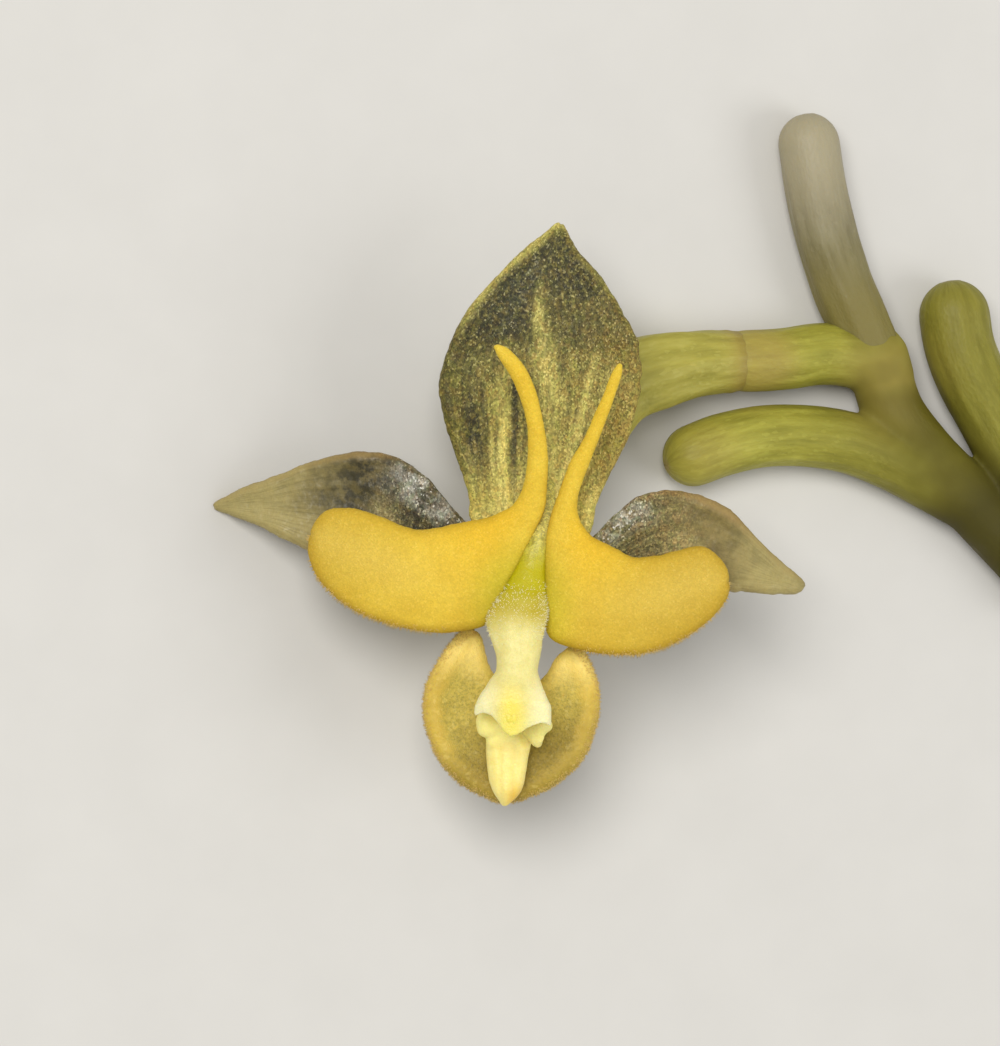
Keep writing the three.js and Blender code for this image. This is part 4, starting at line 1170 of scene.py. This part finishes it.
# A few larger cells get pale specks, a painted sparkle.
colour = lip_skin.over(lip_skin.some(larger, 0.92, 0.98, 0.12), colour, (242, 226, 150))
lip_skin.feed("Base Color", colour)
lip_skin.feed("Roughness", lip_skin.ramp(number, (0.2, 0.65), (1.0, 0.42)))
lip_skin.feed("Normal", lip_skin.relief(distance, 0.006))
lip_disc = blade("lip_disc", LIP_BLADES, lip_depth, LIP_HALF, stations=300, spans=60, crimp=lip_crimp,
                 relief=lip_relief, tones=lip_tones)
lip_disc.data.materials.append(lip_skin.material)
grow_hairs(lip_disc, tan_hairs, **LIP_HAIRS, seed=96)
lean_over(lip_disc)
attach(lip_disc, "root")
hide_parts("lip_blades")

# Lip body
# The fleshy cream middle of the lip. Its neck comes from under the column, and its two flaps stand out below
# the hood, the right one with a small tooth. Its tongue runs down with two shallow grooves to a tip tinted
# with orange.

LIP_TONGUE = [
    [(-0.35, -0.64), (-0.37, -1.1), (-0.39, -1.61), (-0.52, -2.0), (-0.62, -2.35), (-0.67, -2.65),
     (-0.66, -2.9), (-0.62, -3.2), (-0.56, -3.4), (-0.47, -3.55), (-0.39, -3.67)],
    [(0.07, -0.64), (0.08, -1.1), (0.11, -1.61), (0.14, -2.0), (0.13, -2.35), (0.1, -2.62), (0.05, -2.88),
     (0.01, -3.15), (-0.05, -3.38), (-0.19, -3.57), (-0.31, -3.67)],
]
LIP_FLAPS = [
    [(-0.84, -2.2), (-0.75, -2.0), (-0.52, -1.84), (-0.2, -1.76), (0.08, -1.79), (0.2, -1.86), (0.29, -1.95),
     (0.39, -2.1), (0.48, -2.29)],
    [(-0.83, -2.31), (-0.78, -2.45), (-0.6, -2.52), (-0.32, -2.55), (0.06, -2.5), (0.18, -2.6),
     (0.28, -2.61), (0.34, -2.46), (0.45, -2.36)],
]
LIP_BODY_HALF = 0.24
NECK_DEPTH = 0.35  # how far forward its middle is at the neck
TONGUE_DEPTH = 0.63
FLAP_RISE = 0.24  # how much further forward the flaps stand
TONGUE_GROOVES = (-0.42, -0.2)


def lip_body_depth(x, y, s, u):
    flaps = FLAP_RISE * fade(np.abs(x + 0.2), 0.15, 0.5) * fade(y, -2.7, -2.5)
    return NECK_DEPTH + (TONGUE_DEPTH - NECK_DEPTH) * fade(y, -1.1, -1.7) + flaps


def even_margin(s, side):
    return 0.0


lip_middle = joined("lip_middle", [
    leaf(edges, lip_body_depth, LIP_BODY_HALF, stations=80, spans=40, crimp=even_margin)[:2]
    for edges in (LIP_TONGUE, LIP_FLAPS)])
grow_together(lip_middle, voxel=0.02, smoothing=14)
spots, outward = points_of(lip_middle), normals_of(lip_middle)
x, y, _ = spots.T
front = fade(outward[:, 2], 0.2, 0.8) * fade(y, -2.5, -2.8)
grooves = sum(hump(x, at, 0.045) for at in TONGUE_GROOVES) * front
set_points(lip_middle, spots + outward * (0.005 * drift(x, y, 0.12, 97) - 0.018 * grooves)[:, None])
set_tone(lip_middle, "tip", fade(y, -3.1, -3.6) * fade(x, -0.45, -0.15))
# The flaps are painted lighter, standing in for the light that the hood's shadow takes from them.
set_tone(lip_middle, "flap_painted_light", fade(y, -2.7, -2.45))
# The grooves are painted a little darker: painted shade in them.
set_tone(lip_middle, "groove", grooves)
tongue_skin = Finish("tongue_skin", roughness=0.45, specular=0.45, soft_light=0.3, soft_reach=0.3)
number, distance = tongue_skin.cells(0.03)
colour = tongue_skin.ramp(tongue_skin.mottle(0.14, 4.0), (0.3, (242, 222, 126)), (0.65, (249, 233, 144)))
colour = tongue_skin.tinted(
    colour, ("flap_painted_light", 1.0, (253, 239, 143)), ("groove", 0.25, (236, 214, 112)), ("tip", 1.0, (235, 192, 70)))
tongue_skin.feed("Base Color", tongue_skin.shaded(colour, 0.3, number, (0.0, 0.88), (1.0, 1.06)))
tongue_skin.feed("Normal", tongue_skin.relief(distance, 0.005))
lip_middle.data.materials.append(tongue_skin.material)
lean_over(lip_middle)
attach(lip_middle, "root")
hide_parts("lip_body")

# Floor
# A plain pale sheet, which the spray lies on.

FLOOR_HALF = 600
FLOOR_TOP = -0.01
floor = bpy.data.objects.new("floor", bpy.data.meshes.new("floor"))
corners = [(FLOOR_HALF * x, FLOOR_HALF * y) for x, y in ((-1, -1), (1, -1), (1, 1), (-1, 1))]
floor.data.from_pydata([(x * MM, y * MM, FLOOR_TOP * MM) for x, y in corners], [], [(0, 1, 2, 3)])
bpy.context.scene.collection.objects.link(floor)
paper = Finish("floor_paper", roughness=0.9, specular=0.2)
paper.feed("Base Color", paper.ramp(paper.mottle(2.0), (0.3, (206, 204, 199)), (0.7, (209, 207, 202))))
floor.data.materials.append(paper.material)

# Light and camera
# A large soft light from the upper left, a weaker one from the right and an even pale surround.
# The camera looks straight into the flower, as the photograph does.

CAMERA_AT = (-0.427, 1.145, 120)  # in the flower frame
SENSOR = 36
VIEW_HEIGHT = 17.88  # how much of the flower's plane the picture's height takes in
SURROUND_TINT = (1.0, 0.99, 0.97, 1)
SURROUND_STRENGTH = 0.45


def soft_light(name, place, width, power, tint):
    lamp = bpy.data.lights.new(name, "AREA")
    lamp.shape = "DISK"
    lamp.size = width * MM
    lamp.energy = power
    lamp.color = tint
    light = bpy.data.objects.new(name, lamp)
    light.location = Vector(place) * MM
    light.rotation_euler = Vector(place).to_track_quat("Z", "Y").to_euler()
    bpy.context.scene.collection.objects.link(light)


soft_light("key", place=(-120, 70, 270), width=160, power=0.64, tint=(1.0, 0.985, 0.96))
soft_light("fill", place=(190, -60, 190), width=160, power=0.2, tint=(0.98, 0.99, 1.0))
scene = bpy.context.scene
scene.world = bpy.data.worlds.new("surround")
scene.world.use_nodes = True
surround = scene.world.node_tree.nodes["Background"]
surround.inputs["Color"].default_value = SURROUND_TINT
surround.inputs["Strength"].default_value = SURROUND_STRENGTH
scene.view_settings.view_transform = "Standard"

camera = bpy.data.objects.new("camera", bpy.data.cameras.new("camera"))
model_place = Matrix.Translation((-FOOTPRINT_MIDDLE[0] * MM, -FOOTPRINT_MIDDLE[1] * MM, 0))
camera.location = model_place @ (flower_place @ Vector(CAMERA_AT) * MM)
camera.rotation_euler = (0, -LEAN, 0)
camera.data.sensor_width = SENSOR
camera.data.sensor_fit = "AUTO"
camera.data.lens = SENSOR * CAMERA_AT[2] / VIEW_HEIGHT
camera.data.clip_start = 0.01
camera.data.clip_end = 10
scene.collection.objects.link(camera)
scene.camera = camera
